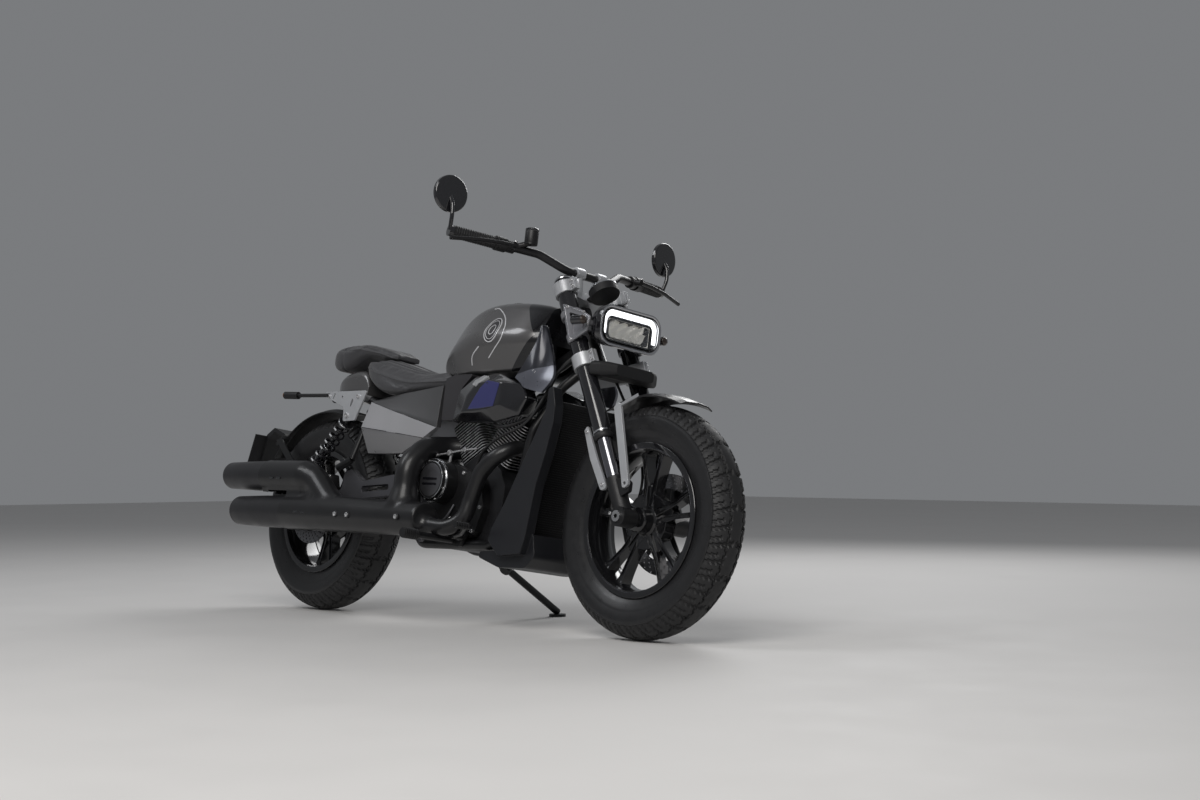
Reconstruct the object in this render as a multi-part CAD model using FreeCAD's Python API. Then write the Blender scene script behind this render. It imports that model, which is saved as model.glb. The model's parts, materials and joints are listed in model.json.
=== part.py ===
"""Cruiser motorcycle with a V-twin engine, parked on its side stand.

The machine is drawn upright, in millimetres: x = 0 at the rear axle and forward,
y to the rider's left, z up from the ground.  Every node is then moved to the
parked place by PARK: leaned to the left until both tyres and the stand's foot
stand on z = 0, with the origin under the middle of the machine's box.
"""
import FreeCAD, Part
import math
import os

V = FreeCAD.Vector
X, Y, Z = V(1, 0, 0), V(0, 1, 0), V(0, 0, 1)
RIGHT, LEFT = -1, 1
SIDES = (RIGHT, LEFT)

# Driving dimensions
WHEELBASE = 1460.0
RAKE = 28.0                 # steering axis from the vertical, degrees
FORK_OFFSET = 50.0          # legs ahead of the steering axis
FORK_SPREAD = 100.0         # leg centre from the middle plane
LEAN = 8.6                  # parked lean to the left, degrees

FRONT_TYRE_R = 320.0
FRONT_TYRE_HALF = 66.0
FRONT_CROWN_R = 70.0
FRONT_RIM_R = 203.0
FRONT_RIM_HALF = 46.0

REAR_TYRE_R = 312.0
REAR_TYRE_HALF = 76.0
REAR_CROWN_R = 82.0
REAR_RIM_R = 190.0
REAR_RIM_HALF = 58.0

FLANGE_H = 9.0              # rim flange above the bead seat
RIM_WALL = 8.0
WELL_DROP = 10.0           # barrel's middle below its edges
TYRE_WALL = 9.0
SPOKE_PAIRS = 5
AXLE_R = 10.0
AXLE_BORE_R = 6.0           # hollow axles, for a lifting pin
REAR_NUT = 9.0
RACK_HOLE_R = 4.25
SHAFT_FIT = 0.06            # running clearance of a shaft in its bore, on the radius
SEAT_GAP = 0.3              # soft or curved piece from what carries it
RUN_GAP = 5.0               # moving piece from its neighbours

STANCHION_R = 20.5
FORK_TUBE_R = 26.0
FORK_TOP = 756.0            # end of the tubes, up the leg from the axle
SEAL_AT = 240.0             # dust seal, up the leg
STEM_R = 15.0
HEADSTOCK_R = 29.0
LOWER_YOKE = (465.0, 505.0)
UPPER_YOKE = (708.0, 746.0)

CRANK_X, CRANK_Z = 812.0, 398.0
VEE_HALF = 30.0             # each cylinder from the vertical, degrees
DECK = 90.0                 # crank to cylinder foot
BARREL_TOP = 200.0
HEAD_TOP = 262.0
FIN_PITCH = 9.0
FIN_T = 3.0
FIN_HALF_X, FIN_HALF_Y = 60.0, 70.0
CORE_R = 46.0
CASE_HALF = 84.0

ARM_IN, ARM_T = 104.0, 24.0     # swingarm arm: inner face, thickness
PIVOT_X, PIVOT_Z = 500.0, 400.0
CHAIN_Y, CHAIN_W = 88.0, 10.0
SPROCKET_R = 76.0
DRIVE_X, DRIVE_Z, DRIVE_R = 592.0, 396.0, 36.0

RAIL_Y = 100.0              # seat rail
RAIL_R = 13.0
CRADLE_Y = 102.0
CRADLE_R = 14.0
COVER_IN = 113.3            # inner face of the side covers
COLUMN_IN = 104.0           # inner face of the covers between tank and side covers

STAND_PIVOT = (735.0, 128.0, 178.0)
STAND_FOOT = (722.0, 372.0)     # on the ground, parked frame before centring
STAND_LEG_R = 11.0
STAND_FOOT_R = 26.0
STAND_FOOT_T = 8.0
EYE_T = 12.0                # stand eye between its two ears
EAR_OUT = 13.0

AXLE_F = V(WHEELBASE, 0, FRONT_TYRE_R)
AXLE_REAR = V(0, 0, REAR_TYRE_R)
SIN_R, COS_R = math.sin(math.radians(RAKE)), math.cos(math.radians(RAKE))
FORK = FreeCAD.Placement(AXLE_F, FreeCAD.Rotation(Y, -RAKE))


def at_wheel(table):
    """Table of (x, z, corner radius) measured from the rear axle, in machine measure."""
    return [(x, REAR_TYRE_R + z, r) for x, z, r in table]


def at_pivot(table):
    """Table of (x, z, corner radius) measured from the swingarm's pivot, in machine measure."""
    return [(PIVOT_X + x, PIVOT_Z + z, r) for x, z, r in table]


# Small makers of solids

def box(x0, x1, y0, y1, z0, z1):
    return Part.makeBox(x1 - x0, y1 - y0, z1 - z0, V(x0, y0, z0))


def rod(a, b, r):
    return Part.makeCylinder(r, (b - a).Length, a, b - a)


def cross_rod(x, z, y0, y1, r):
    """Cylinder across the machine."""
    low, high = min(y0, y1), max(y0, y1)
    return Part.makeCylinder(r, high - low, V(x, low, z), Y)


def fuse(shapes):
    shapes = list(shapes)
    joined = shapes[0]
    if len(shapes) > 1:
        joined = joined.multiFuse(shapes[1:])
    return joined.removeSplitter()


def both(maker):
    """The same piece on each side: maker takes the side's sign."""
    return Part.makeCompound([maker(side) for side in SIDES])


def corners(table, place):
    """Closed wire from a table of (u, v, corner radius)."""
    count = len(table)
    ends = []
    for i, (u, v, r) in enumerate(table):
        here = V(u, v, 0)
        back = V(table[i - 1][0], table[i - 1][1], 0) - here
        on = V(table[(i + 1) % count][0], table[(i + 1) % count][1], 0) - here
        if r <= 0:
            ends.append((here, None, here))
            continue
        half = back.getAngle(on) / 2
        run = r / math.tan(half)
        bisector = (back.normalize() + on.normalize()).normalize()
        middle = here + bisector * (r / math.sin(half) - r)
        ends.append((here + back * run, middle, here + on * run))
    edges = []
    for i, (first, middle, last) in enumerate(ends):
        if middle is not None:
            edges.append(Part.Arc(place(first), place(middle), place(last)).toShape())
        nxt = ends[(i + 1) % count][0]
        if (nxt - last).Length > 1e-4:
            edges.append(Part.LineSegment(place(last), place(nxt)).toShape())
    return Part.Wire(edges)


def slab(table, y0, y1):
    """Outline in the side view, (x, z, corner radius), thick from y0 to y1."""
    wire = corners(table, lambda p: V(p.x, y0, p.y))
    return Part.Face(wire).extrude(V(0, y1 - y0, 0))


def side_slab(table, side, y0, y1):
    return slab(table, side * y0, side * y1)


def plan_slab(table, z0, z1):
    """Outline seen from above, (x, y, corner radius), thick from z0 to z1."""
    wire = corners(table, lambda p: V(p.x, p.y, z0))
    return Part.Face(wire).extrude(V(0, 0, z1 - z0))


def station(x, half, z0, z1, r):
    """Rounded box section across the machine at x."""
    table = [(-half, z0, r), (half, z0, r), (half, z1, r), (-half, z1, r)]
    return corners(table, lambda p: V(x, p.x, p.y))


def loft(wires, ruled=False):
    return Part.makeLoft(wires, True, ruled)


def pipe(points, r, bend=60.0):
    """Round bar along straight runs joined by tangent arcs."""
    edges = []
    last = points[0]
    for i in range(1, len(points) - 1):
        here = points[i]
        back, on = points[i - 1] - here, points[i + 1] - here
        turn = math.pi - back.getAngle(on)
        reach = 0.45 * min(back.Length, on.Length)
        radius = min(bend, reach / math.tan(turn / 2))
        run = radius * math.tan(turn / 2)
        back.normalize()
        on.normalize()
        first, after = here + back * run, here + on * run
        middle = here + (back + on).normalize() * (radius / math.cos(turn / 2) - radius)
        edges.append(Part.LineSegment(last, first).toShape())
        edges.append(Part.Arc(first, middle, after).toShape())
        last = after
    edges.append(Part.LineSegment(last, points[-1]).toShape())
    path = Part.Wire(edges)
    ring = Part.Wire(Part.makeCircle(r, points[0], points[1] - points[0]))
    return Part.Solid(path.makePipeShell([ring], True, False))


def spin(profile, centre):
    """Ring about an axle: profile is a table of (radius, y, corner radius)."""
    wire = corners(profile, lambda p: V(centre.x + p.x, p.y, centre.z))
    return Part.Face(wire).revolve(centre, Y, 360)


def sheet_panel(rows, depth):
    """Faceted panel from rows of (x, y, z), thickened along y."""
    shift = V(0, depth, 0)
    front = [[V(*p) for p in row] for row in rows]
    back = [[p + shift for p in row] for row in front]
    faces = []

    def triangle(a, b, c):
        if (b - a).cross(c - a).Length > 1e-6:
            faces.append(Part.Face(Part.makePolygon([a, b, c, a])))

    high, wide = len(front), len(front[0])
    for grid in (front, back):
        for i in range(high - 1):
            for j in range(wide - 1):
                a, b = grid[i][j], grid[i][j + 1]
                c, d = grid[i + 1][j + 1], grid[i + 1][j]
                triangle(a, b, c)
                triangle(a, c, d)
    rim = [(0, j) for j in range(wide)] + [(i, wide - 1) for i in range(1, high)]
    rim += [(high - 1, j) for j in range(wide - 2, -1, -1)] + [(i, 0) for i in range(high - 2, 0, -1)]
    for (i, j), (k, l) in zip(rim, rim[1:] + rim[:1]):
        if (front[i][j] - front[k][l]).Length > 1e-6:
            triangle(front[i][j], front[k][l], back[k][l])
            triangle(front[i][j], back[k][l], back[i][j])
    solid = Part.makeSolid(Part.makeShell(faces))
    if solid.Volume < 0:
        solid.reverse()
    return solid


def up_fork(shape):
    """From fork measure (x ahead of the legs, z up from the axle) to the machine."""
    moved = shape.copy()
    moved.Placement = FORK.multiply(moved.Placement)
    return moved


def on_fork(ahead, across, up):
    return FORK.multVec(V(ahead, across, up))


# Parked place

def park_rotation():
    crowns = REAR_CROWN_R - FRONT_CROWN_R
    cos_lean = math.cos(math.radians(LEAN))
    pitch = math.degrees(crowns * (1 - cos_lean) / (WHEELBASE * cos_lean))
    return FreeCAD.Rotation(X, -LEAN).multiply(FreeCAD.Rotation(Y, pitch))


def lowest(rotation, centre, outer, crown):
    """Lowest point of a leaned tyre with a round crown."""
    axle = rotation.multVec(Y)
    return rotation.multVec(centre).z - (outer - crown) * math.sqrt(1 - axle.z ** 2) - crown


PARK_TURN = park_rotation()
PARK_RISE = -lowest(PARK_TURN, AXLE_REAR, REAR_TYRE_R, REAR_CROWN_R)
GROUNDED = FreeCAD.Placement(V(0, 0, PARK_RISE), PARK_TURN)


# Wheels

def tyre(centre, outer, half, crown, rim, rim_half):
    """Hollow carcass: round crown, bulged side walls and beads on the rim."""
    shoulder = half - 6
    at = math.sqrt(crown ** 2 - shoulder ** 2) + outer - crown
    belly = rim + 0.5 * (outer - rim)

    def section(inset):
        top = outer - inset
        edge = shoulder - inset
        high = at - inset * 0.9
        wide = half - inset
        bead = rim_half - 1 - inset
        foot = rim + (0 if inset == 0 else 14)
        place = lambda r, y: V(centre.x + r, y, centre.z)
        return Part.Wire([
            Part.Arc(place(high, -edge), place(top, 0), place(high, edge)).toShape(),
            Part.Arc(place(high, edge), place(belly, wide), place(foot, bead)).toShape(),
            Part.LineSegment(place(foot, bead), place(foot, -bead)).toShape(),
            Part.Arc(place(foot, -bead), place(belly, -wide), place(high, -edge)).toShape()])

    solid = Part.Face(section(0)).revolve(centre, Y, 360)
    hollow = Part.Face(section(TYRE_WALL)).revolve(centre, Y, 360)
    return solid.cut(hollow).cut(rim_barrel(centre, rim, rim_half))


def rim_barrel(centre, seat_r, half):
    inner = seat_r - RIM_WALL
    well = inner - WELL_DROP
    return spin([(seat_r, -half, 0), (seat_r + FLANGE_H, -half - 1, 0),
                 (seat_r + FLANGE_H, -half - 6, 2), (inner, -half - 6, 2),
                 (well, -half + 26, 0), (well, half - 26, 0), (inner, half + 6, 2),
                 (seat_r + FLANGE_H, half + 6, 2), (seat_r + FLANGE_H, half + 1, 0),
                 (seat_r, half, 0)], centre)


def rim(centre, seat_r, half, hub_half, bearing_r, turn):
    """Cast wheel: barrel with flanges, hub and pairs of forked spokes."""
    barrel = rim_barrel(centre, seat_r, half)
    well = seat_r - RIM_WALL - WELL_DROP
    hub = spin([(AXLE_R + SHAFT_FIT, -hub_half, 0), (bearing_r - 14, -hub_half, 0),
                (bearing_r - 14, 10 - hub_half, 0), (bearing_r, 12 - hub_half, 0),
                (bearing_r + 6, 0, 0), (bearing_r, hub_half - 12, 0),
                (bearing_r - 14, hub_half - 10, 0), (bearing_r - 14, hub_half, 0),
                (AXLE_R + SHAFT_FIT, hub_half, 0)], centre)
    arms = []
    # root: distance, offset, half width, half thickness; then the same at the barrel
    for pair in range(SPOKE_PAIRS):
        for lean in (-1, 1):
            wires = []
            for dist, offset, wide, thick in ((bearing_r - 4, 13, 10, 22),
                                              (0.55 * well, 17, 7.5, 18),
                                              (well + 3, 36, 7, 20)):
                table = [(lean * offset - wide, -thick, 0), (lean * offset + wide, -thick, 0),
                         (lean * offset + wide, thick, 0), (lean * offset - wide, thick, 0)]
                wires.append(corners(table, lambda p: V(p.x, p.y, dist)))
            arm = loft(wires, True)
            arm.rotate(V(0, 0, 0), Y, turn + pair * 360.0 / SPOKE_PAIRS)
            arm.translate(centre)
            arms.append(arm)
    return fuse([barrel, hub] + arms)


def disc(centre, y0, y1, r_in, r_out, hub_r, carrier_y):
    """Brake disc on a spoked carrier."""
    ring = spin([(r_in, y0, 0), (r_out, y0, 0), (r_out, y1, 0), (r_in, y1, 0)], centre)
    collar = spin([(hub_r, carrier_y, 0), (hub_r + 14, carrier_y, 0),
                   (hub_r + 14, y1, 0), (hub_r, y1, 0)], centre)
    arms = []
    for k in range(SPOKE_PAIRS):
        arm = box(-9, 9, y0, y1, hub_r + 8, r_in + 6)
        arm.rotate(V(0, 0, 0), Y, k * 360.0 / SPOKE_PAIRS)
        arm.translate(centre)
        arms.append(arm)
    return fuse([ring, collar] + arms)


# Fork body, drawn in fork measure: x ahead of the legs, z up the leg from the axle

FRONT_HUB_HALF = 70.0
FOOT_IN, FOOT_OUT = 76.0, 128.0
FOOT_TOP = 118.0            # leg foot's upper end, up the leg
STAY_IN, STAY_T = 117.0, 8.0


def fork_stanchions():
    return up_fork(both(lambda side: rod(V(0, side * FORK_SPREAD, FOOT_TOP - 18),
                                         V(0, side * FORK_SPREAD, SEAL_AT - 1), STANCHION_R)))


def fork_feet(stanchions):
    def foot(side):
        y = side * FORK_SPREAD
        socket = rod(V(0, y, 14), V(0, y, FOOT_TOP), 25)
        eye = cross_rod(0, 0, side * FOOT_IN, side * FOOT_OUT, 27)
        front_ear = side_slab([(0, 52, 0), (52, 50, 8), (64, 72, 8), (52, 92, 8), (0, 112, 0)],
                              side, STAY_IN - 12, STAY_IN)
        rear_ear = side_slab([(0, 88, 0), (-30, 98, 6), (-37, 116, 6), (0, 117, 0)],
                             side, STAY_IN - 12, STAY_IN)
        piece = fuse([socket, eye, front_ear, rear_ear])
        return piece.cut(cross_rod(0, 0, -200, 200, AXLE_R))
    return up_fork(both(foot)).cut(stanchions)


def front_axle():
    shaft = cross_rod(0, 0, -FOOT_OUT, FOOT_OUT, AXLE_R)
    caps = [cross_rod(0, 0, s * FOOT_OUT, s * (FOOT_OUT + 7), 15) for s in SIDES]
    bore = cross_rod(0, 0, -200, 200, AXLE_BORE_R)
    return up_fork(fuse([shaft] + caps).cut(bore))


def fork_tubes():
    def leg(side):
        y = side * FORK_SPREAD
        tube = rod(V(0, y, SEAL_AT + 12), V(0, y, FORK_TOP), FORK_TUBE_R)
        seal = rod(V(0, y, SEAL_AT), V(0, y, SEAL_AT + 12), FORK_TUBE_R - 2)
        cap = rod(V(0, y, FORK_TOP), V(0, y, FORK_TOP + 9), FORK_TUBE_R - 7)
        bore = rod(V(0, y, SEAL_AT), V(0, y, SEAL_AT + 6), STANCHION_R)
        return fuse([tube, seal, cap]).cut(bore)
    return up_fork(both(leg))


def yoke(span, ring_r, stem):
    """Clamp plate round both legs and the steering stem."""
    s0, s1 = span
    ring = ring_r + FORK_TUBE_R
    plate = plan_slab([(-FORK_OFFSET - 24, -26, 14), (-FORK_OFFSET - 24, 26, 14), (-20, FORK_SPREAD, 10),
                       (14, FORK_SPREAD, 6), (-8, 0, 40), (14, -FORK_SPREAD, 6),
                       (-20, -FORK_SPREAD, 10)], s0 + 4, s1 - 4)
    rings = [rod(V(0, s * FORK_SPREAD, s0), V(0, s * FORK_SPREAD, s1), ring) for s in SIDES]
    lugs = [box(ring - 6, ring + 14, s * FORK_SPREAD - 9, s * FORK_SPREAD + 9, s0, s1) for s in SIDES]
    body = fuse([plate] + rings + lugs + stem)
    for s in SIDES:
        body = body.cut(rod(V(0, s * FORK_SPREAD, 0), V(0, s * FORK_SPREAD, 900), FORK_TUBE_R))
        body = body.cut(box(FORK_TUBE_R - 2, ring + 20, s * FORK_SPREAD - 1.5,
                            s * FORK_SPREAD + 1.5, s0 - 1, s1 + 1))
    return body


def lower_yoke():
    stem = rod(V(-FORK_OFFSET, 0, LOWER_YOKE[0] + 6), V(-FORK_OFFSET, 0, UPPER_YOKE[0]), STEM_R)
    return up_fork(yoke(LOWER_YOKE, 7, [stem]))


def upper_yoke():
    nut = rod(V(-FORK_OFFSET, 0, UPPER_YOKE[1] - 4), V(-FORK_OFFSET, 0, UPPER_YOKE[1] + 8), 17)
    risers = [rod(V(-12, s * RISER_Y, UPPER_YOKE[1] - 21), V(BAR_AHEAD - 2, s * RISER_Y, BAR_UP - 5), 14)
              for s in SIDES]
    shape = up_fork(yoke(UPPER_YOKE, 6, [nut] + risers))
    caps = fuse([cross_rod(BAR_C.x, BAR_C.z, s * RISER_Y - 15, s * RISER_Y + 15, BAR_R + 7) for s in SIDES[:1]])
    other = cross_rod(BAR_C.x, BAR_C.z, RISER_Y - 15, RISER_Y + 15, BAR_R + 7)
    return fuse([shape, caps, other]).cut(handlebar())


BAR_AHEAD, BAR_UP, RISER_Y = 12.0, 789.0, 42.0
BAR_R = 12.0
BAR_C = on_fork(BAR_AHEAD, 0, BAR_UP)
GRIP_END = V(WHEELBASE - 492, 416, 1075)
# bar's bends on the left side, machine measure
BAR_BENDS = ((BAR_C.x, 84, BAR_C.z), (WHEELBASE - 406, 158, 1059), (WHEELBASE - 434, 232, 1064))
# clutch or brake lever from its pivot to its tip, and the brake reservoir: left side, machine measure
LEVER = ((WHEELBASE - 402, 252, 1063), (WHEELBASE - 406, 300, 1061), (WHEELBASE - 418, 370, 1055),
         (WHEELBASE - 442, 455, 1043))
RESERVOIR = (WHEELBASE - 398, 200, 1076, 1120)
RESERVOIR_R = 19.0


def handlebar():
    half = [V(*p) for p in BAR_BENDS] + [GRIP_END]
    other = [V(p.x, -p.y, p.z) for p in reversed(half)]
    return pipe(other + half, BAR_R, 55)


def grip_line(side, t):
    """Point on the straight end of the bar, t from its last bend to its end."""
    a, b = V(*BAR_BENDS[-1]), GRIP_END
    p = a + (b - a) * t
    return V(p.x, side * p.y, p.z)


def grips(bar):
    def grip(side):
        body = rod(grip_line(side, 0.30), grip_line(side, 0.97), 17)
        flange = rod(grip_line(side, 0.27), grip_line(side, 0.30), 21)
        return fuse([body, flange]).cut(bar)
    return both(grip)


def hand_controls(bar):
    def side_set(side):
        switch = rod(grip_line(side, 0.14), grip_line(side, 0.265), 21)
        perch = rod(grip_line(side, 0.0), grip_line(side, 0.11), 18)
        points = [V(x, side * y, z) for x, y, z in LEVER]
        arm = rod(grip_line(side, 0.055), points[0], 10)
        pieces = [switch, perch, arm, pipe(points, 6, 40)]
        if side == RIGHT:
            x, y, low, high = RESERVOIR
            pieces.append(rod(V(x, side * y, low), V(x, side * y, high), RESERVOIR_R))
            pieces.append(rod(grip_line(side, 0.02), V(x, side * y, low + 6), 8))
        joined = rod(grip_line(side, 0.10), grip_line(side, 0.15), 16)
        return fuse(pieces + [joined]).cut(bar)
    return both(side_set)


MIRROR_R, MIRROR_T = 53.0, 13.0
MIRROR_C = V(WHEELBASE - 498, 428, 1180)
MIRROR_TURN = 7.0           # outward, degrees


def mirrors(bar):
    def mirror(side):
        centre = V(MIRROR_C.x, side * MIRROR_C.y, MIRROR_C.z)
        turn = math.radians(MIRROR_TURN)
        out = V(math.cos(turn), side * math.sin(turn), 0)
        shell = Part.makeCylinder(MIRROR_R, MIRROR_T, centre - out * MIRROR_T / 2, out)
        front = [e for e in shell.Edges if abs((e.CenterOfMass - centre).dot(out) - MIRROR_T / 2) < 0.1]
        shell = shell.makeFillet(5, front)
        end = V(GRIP_END.x, side * GRIP_END.y, GRIP_END.z)
        foot = rod(grip_line(side, 0.972), end + (end - grip_line(side, 0.5)).normalize() * 8, 16)
        top = centre - Z * 5
        stem = pipe([V(end.x + 4, side * (GRIP_END.y + 8), end.z + 1), V(end.x + 14, side * 430, end.z + 42),
                     V(top.x + 16, side * 430, top.z - 22), top], 6, 60)
        return fuse([shell, foot, stem]).cut(bar)
    return both(mirror)


HEADLIGHT = (WHEELBASE - 160, 118.0, 800.0, 915.0)   # face x, half width, bottom, top


def headlight_shell():
    face, half, low, high = HEADLIGHT
    front = loft([station(face, half, low, high, 42), station(face - 34, half - 3, low + 4, high - 3, 42),
                  station(face - 58, half - 20, low + 14, high - 12, 38)])
    back = loft([station(face - 57, 66, low + 18, high - 16, 26), station(face - 122, 50, low + 34, high - 30, 20)],
                True)
    body = fuse([front, back])
    pocket = loft([station(face + 1, half - 10, low + 10, high - 10, 34),
                   station(face - 34, half - 16, low + 16, high - 16, 30)], True)
    return body.cut(pocket)


def headlight_lens():
    face, half, low, high = HEADLIGHT
    return loft([station(face - 5, half - 10.3 - 0.8, low + 11.1, high - 11.1, 33),
                 station(face + 3, half - 13, low + 14, high - 14, 30)], True)


def headlight_unit():
    """Reflector block with the light strip round its top and sides."""
    face, half, low, high = HEADLIGHT
    block = loft([station(face - 14, half - 13.5, low + 13.5, high - 13.5, 30),
                  station(face - 34, half - 16.3, low + 16.3, high - 16.3, 29.5)], True)
    dish = loft([station(face - 13, half - 42, low + 24, high - 38, 16),
                 station(face - 30, half - 60, low + 34, high - 48, 8)], True)
    return block.cut(dish)


EAR_IN, EAR_T = 127.0, 4.0
LAMP_BOLT = (HEADLIGHT[0] - 44, 858.0)


def by_lamp(table):
    """Table of (x behind the lamp's face, z, corner radius) in machine measure."""
    return [(HEADLIGHT[0] + x, z, r) for x, z, r in table]


def headlight_brackets(tubes, shell):
    def ear(side):
        outline = by_lamp([(-152, 916, 4), (-68, 893, 6), (-30, 872, 6), (-38, 832, 6), (-108, 800, 4)])
        hole = by_lamp([(-122, 890, 4), (-74, 878, 4), (-50, 864, 4), (-55, 842, 4), (-94, 826, 4)])
        frame = side_slab(outline, side, EAR_IN, EAR_IN + EAR_T).cut(
            side_slab(hole, side, EAR_IN - 1, EAR_IN + EAR_T + 1))
        plate = side_slab(by_lamp([(-114, 884, 3), (-60, 866, 3), (-62, 838, 3), (-96, 822, 3)]),
                          side, EAR_IN - 4, EAR_IN)
        bolt = cross_rod(LAMP_BOLT[0], LAMP_BOLT[1], side * 90, side * (EAR_IN + 2), 8)
        y = side * FORK_SPREAD
        rings = [up_fork(rod(V(0, y, s), V(0, y, s + 18), FORK_TUBE_R + 5)) for s in (560, 632)]
        return fuse([frame, plate, bolt] + rings)
    return both(ear).cut(tubes).cut(shell)


def front_indicators(brackets):
    def lamp(side):
        stem = cross_rod(LAMP_BOLT[0], LAMP_BOLT[1], side * (EAR_IN + 2), side * 150, 5)
        middle = V(LAMP_BOLT[0], side * 160, LAMP_BOLT[1])
        head = rod(middle - X * 22, middle + X * 18, 13)
        return fuse([stem, head])
    return both(lamp).cut(brackets)


def instrument(upper):
    axis = V(-0.55, 0, 0.83).normalize()
    centre = V(HEADLIGHT[0] - 120, 0, 962)
    dial = Part.makeCylinder(43, 26, centre, axis)
    level = UPPER_YOKE[0] + 8
    bracket = up_fork(box(-12, 56, -14, 14, level, level + 6))
    post = rod(on_fork(46, 0, level + 3), centre + axis * 4, 10)
    return fuse([dial, bracket, post]).cut(upper)


def horn_cover(lower, tubes):
    face = HEADLIGHT[0]
    wing = loft([station(face - 20, 122, 712, 750, 12), station(face + 10, 112, 709, 752, 14),
                 station(face + 38, 72, 716, 748, 12)], True)
    neck = box(face - 85, face - 15, -48, 48, 716, 744)
    return fuse([wing, neck]).cut(lower).cut(tubes)


def front_fender():
    inner = FRONT_TYRE_R + 14
    table = [(inner, -62, 0), (inner + 9, -40, 0), (inner + 12, 0, 0), (inner + 9, 40, 0), (inner, 62, 0),
             (inner + 4, 62, 0), (inner + 13, 40, 0), (inner + 16, 0, 0), (inner + 13, -40, 0),
             (inner + 4, -62, 0)]
    wire = corners(table, lambda p: V(AXLE_F.x + p.x, p.y, AXLE_F.z))
    arc = Part.Face(wire).revolve(AXLE_F, Y, -50)
    arc.rotate(AXLE_F, Y, -68)
    return arc


def fender_stays(fender, feet):
    def stay(side):
        front = side_slab([(38, 62, 8), (64, 64, 10), (108, 278, 4), (104, 296, 4), (84, 290, 4)],
                          side, STAY_IN, STAY_IN + STAY_T)
        shelf = loft([corners(rows, lambda p, y=y: V(p.x, side * y, p.y)) for y, rows in (
            (STAY_IN + STAY_T, [(84, 278, 0), (108, 280, 0), (107, 288, 0), (84, 288, 0)]),
            (58, [(92, 318, 0), (124, 316, 0), (124, 326, 0), (92, 328, 0)]))], True)
        rear = side_slab([(-14, 94, 8), (-38, 96, 10), (-46, 200, 30), (-40, 284, 4), (-24, 292, 4), (-22, 190, 20)],
                         side, STAY_IN, STAY_IN + STAY_T)
        hole = cross_rod(51, 74, side * 100, side * 140, 5)
        return Part.makeCompound([fuse([front, shelf]).cut(hole), rear])
    return up_fork(both(stay)).cut(fender).cut(feet)


def front_caliper(feet):
    block = slab([(-150, 0, 14), (-102, -8, 10), (-92, 88, 14), (-140, 96, 14)], 44, 84)
    slot = slab([(-144, -20, 0), (0, -20, 0), (0, 120, 0), (-144, 120, 0)], 54, 63)
    bracket = slab([(-120, 30, 6), (-120, 70, 6), (0, 100, 0), (0, 40, 0)], 70, 88)
    return up_fork(fuse([block, bracket]).cut(slot)).cut(feet)


# Chassis

HEAD_AT = (LOWER_YOKE[1] + 3, UPPER_YOKE[0] - 3)


def frame():
    low = on_fork(-FORK_OFFSET, 0, HEAD_AT[0])
    high = on_fork(-FORK_OFFSET, 0, HEAD_AT[1])
    head = rod(low, high, HEADSTOCK_R)
    middle = low + (high - low) * 0.45
    spine = pipe([middle, V(1010, 0, 762), V(850, 0, 706), V(560, 0, 655)], 19, 200)
    parts = [head, spine]
    for side in SIDES:
        cradle = [low + (high - low) * 0.15, V(1098, side * 52, 690), V(1052, side * CRADLE_Y, 560),
                  V(1000, side * CRADLE_Y, 300), V(940, side * CRADLE_Y, 226),
                  V(610, side * CRADLE_Y, 222), V(525, side * 68, 262), V(PIVOT_X, side * 68, 400),
                  V(512, side * 68, 560), V(560, side * RAIL_Y, 650)]
        rail = [V(650, side * 60, 668), V(560, side * RAIL_Y, 650), V(300, side * RAIL_Y, 650),
                V(228, side * RAIL_Y, 672), V(60, side * RAIL_Y, 672)]
        parts.append(pipe(cradle, CRADLE_R, 70))
        parts.append(pipe(rail, RAIL_R, 60))
        parts.append(cross_rod(PIVOT_X, PIVOT_Z, side * 52, side * 84, 26))
        parts.append(rod(V(800, 0, 696), V(650, side * 60, 668), 12))
        parts.append(rod(V(430, side * RAIL_Y, 650), V(430, side * RAIL_Y, 681), 10))
    parts.append(cross_rod(700, 680, -COLUMN_IN, COLUMN_IN, 8))
    parts.append(cross_rod(950, 741, -70, 70, 9))
    parts.append(cross_rod(230, 672, -RAIL_Y, RAIL_Y, 9))
    parts.append(cross_rod(560, 650, -RAIL_Y, RAIL_Y, 11))
    parts.append(cross_rod(960, 236, -CRADLE_Y, CRADLE_Y, 11))
    parts.append(cross_rod(560, 240, -84, 84, 11))
    joined = fuse(parts)
    joined = joined.cut(rod(on_fork(-FORK_OFFSET, 0, 400), on_fork(-FORK_OFFSET, 0, 800),
                            STEM_R + SHAFT_FIT))
    return joined.cut(cross_rod(PIVOT_X, PIVOT_Z, -120, 120, 12))


def crankcase():
    case = slab([(650, 240, 30), (600, 236, 20), (572, 260, 20), (560, 330, 10), (556, 410, 20), (600, 462, 20),
                 (700, 437, 0), (CRANK_X - 97, CRANK_Z + 48, 0), (CRANK_X, CRANK_Z + 104, 0),
                 (CRANK_X + 97, CRANK_Z + 48, 0), (935, 400, 30), (930, 290, 30), (880, 240, 20),
                 (800, 212, 20), (700, 212, 20)], -CASE_HALF, CASE_HALF)
    return case


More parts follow.
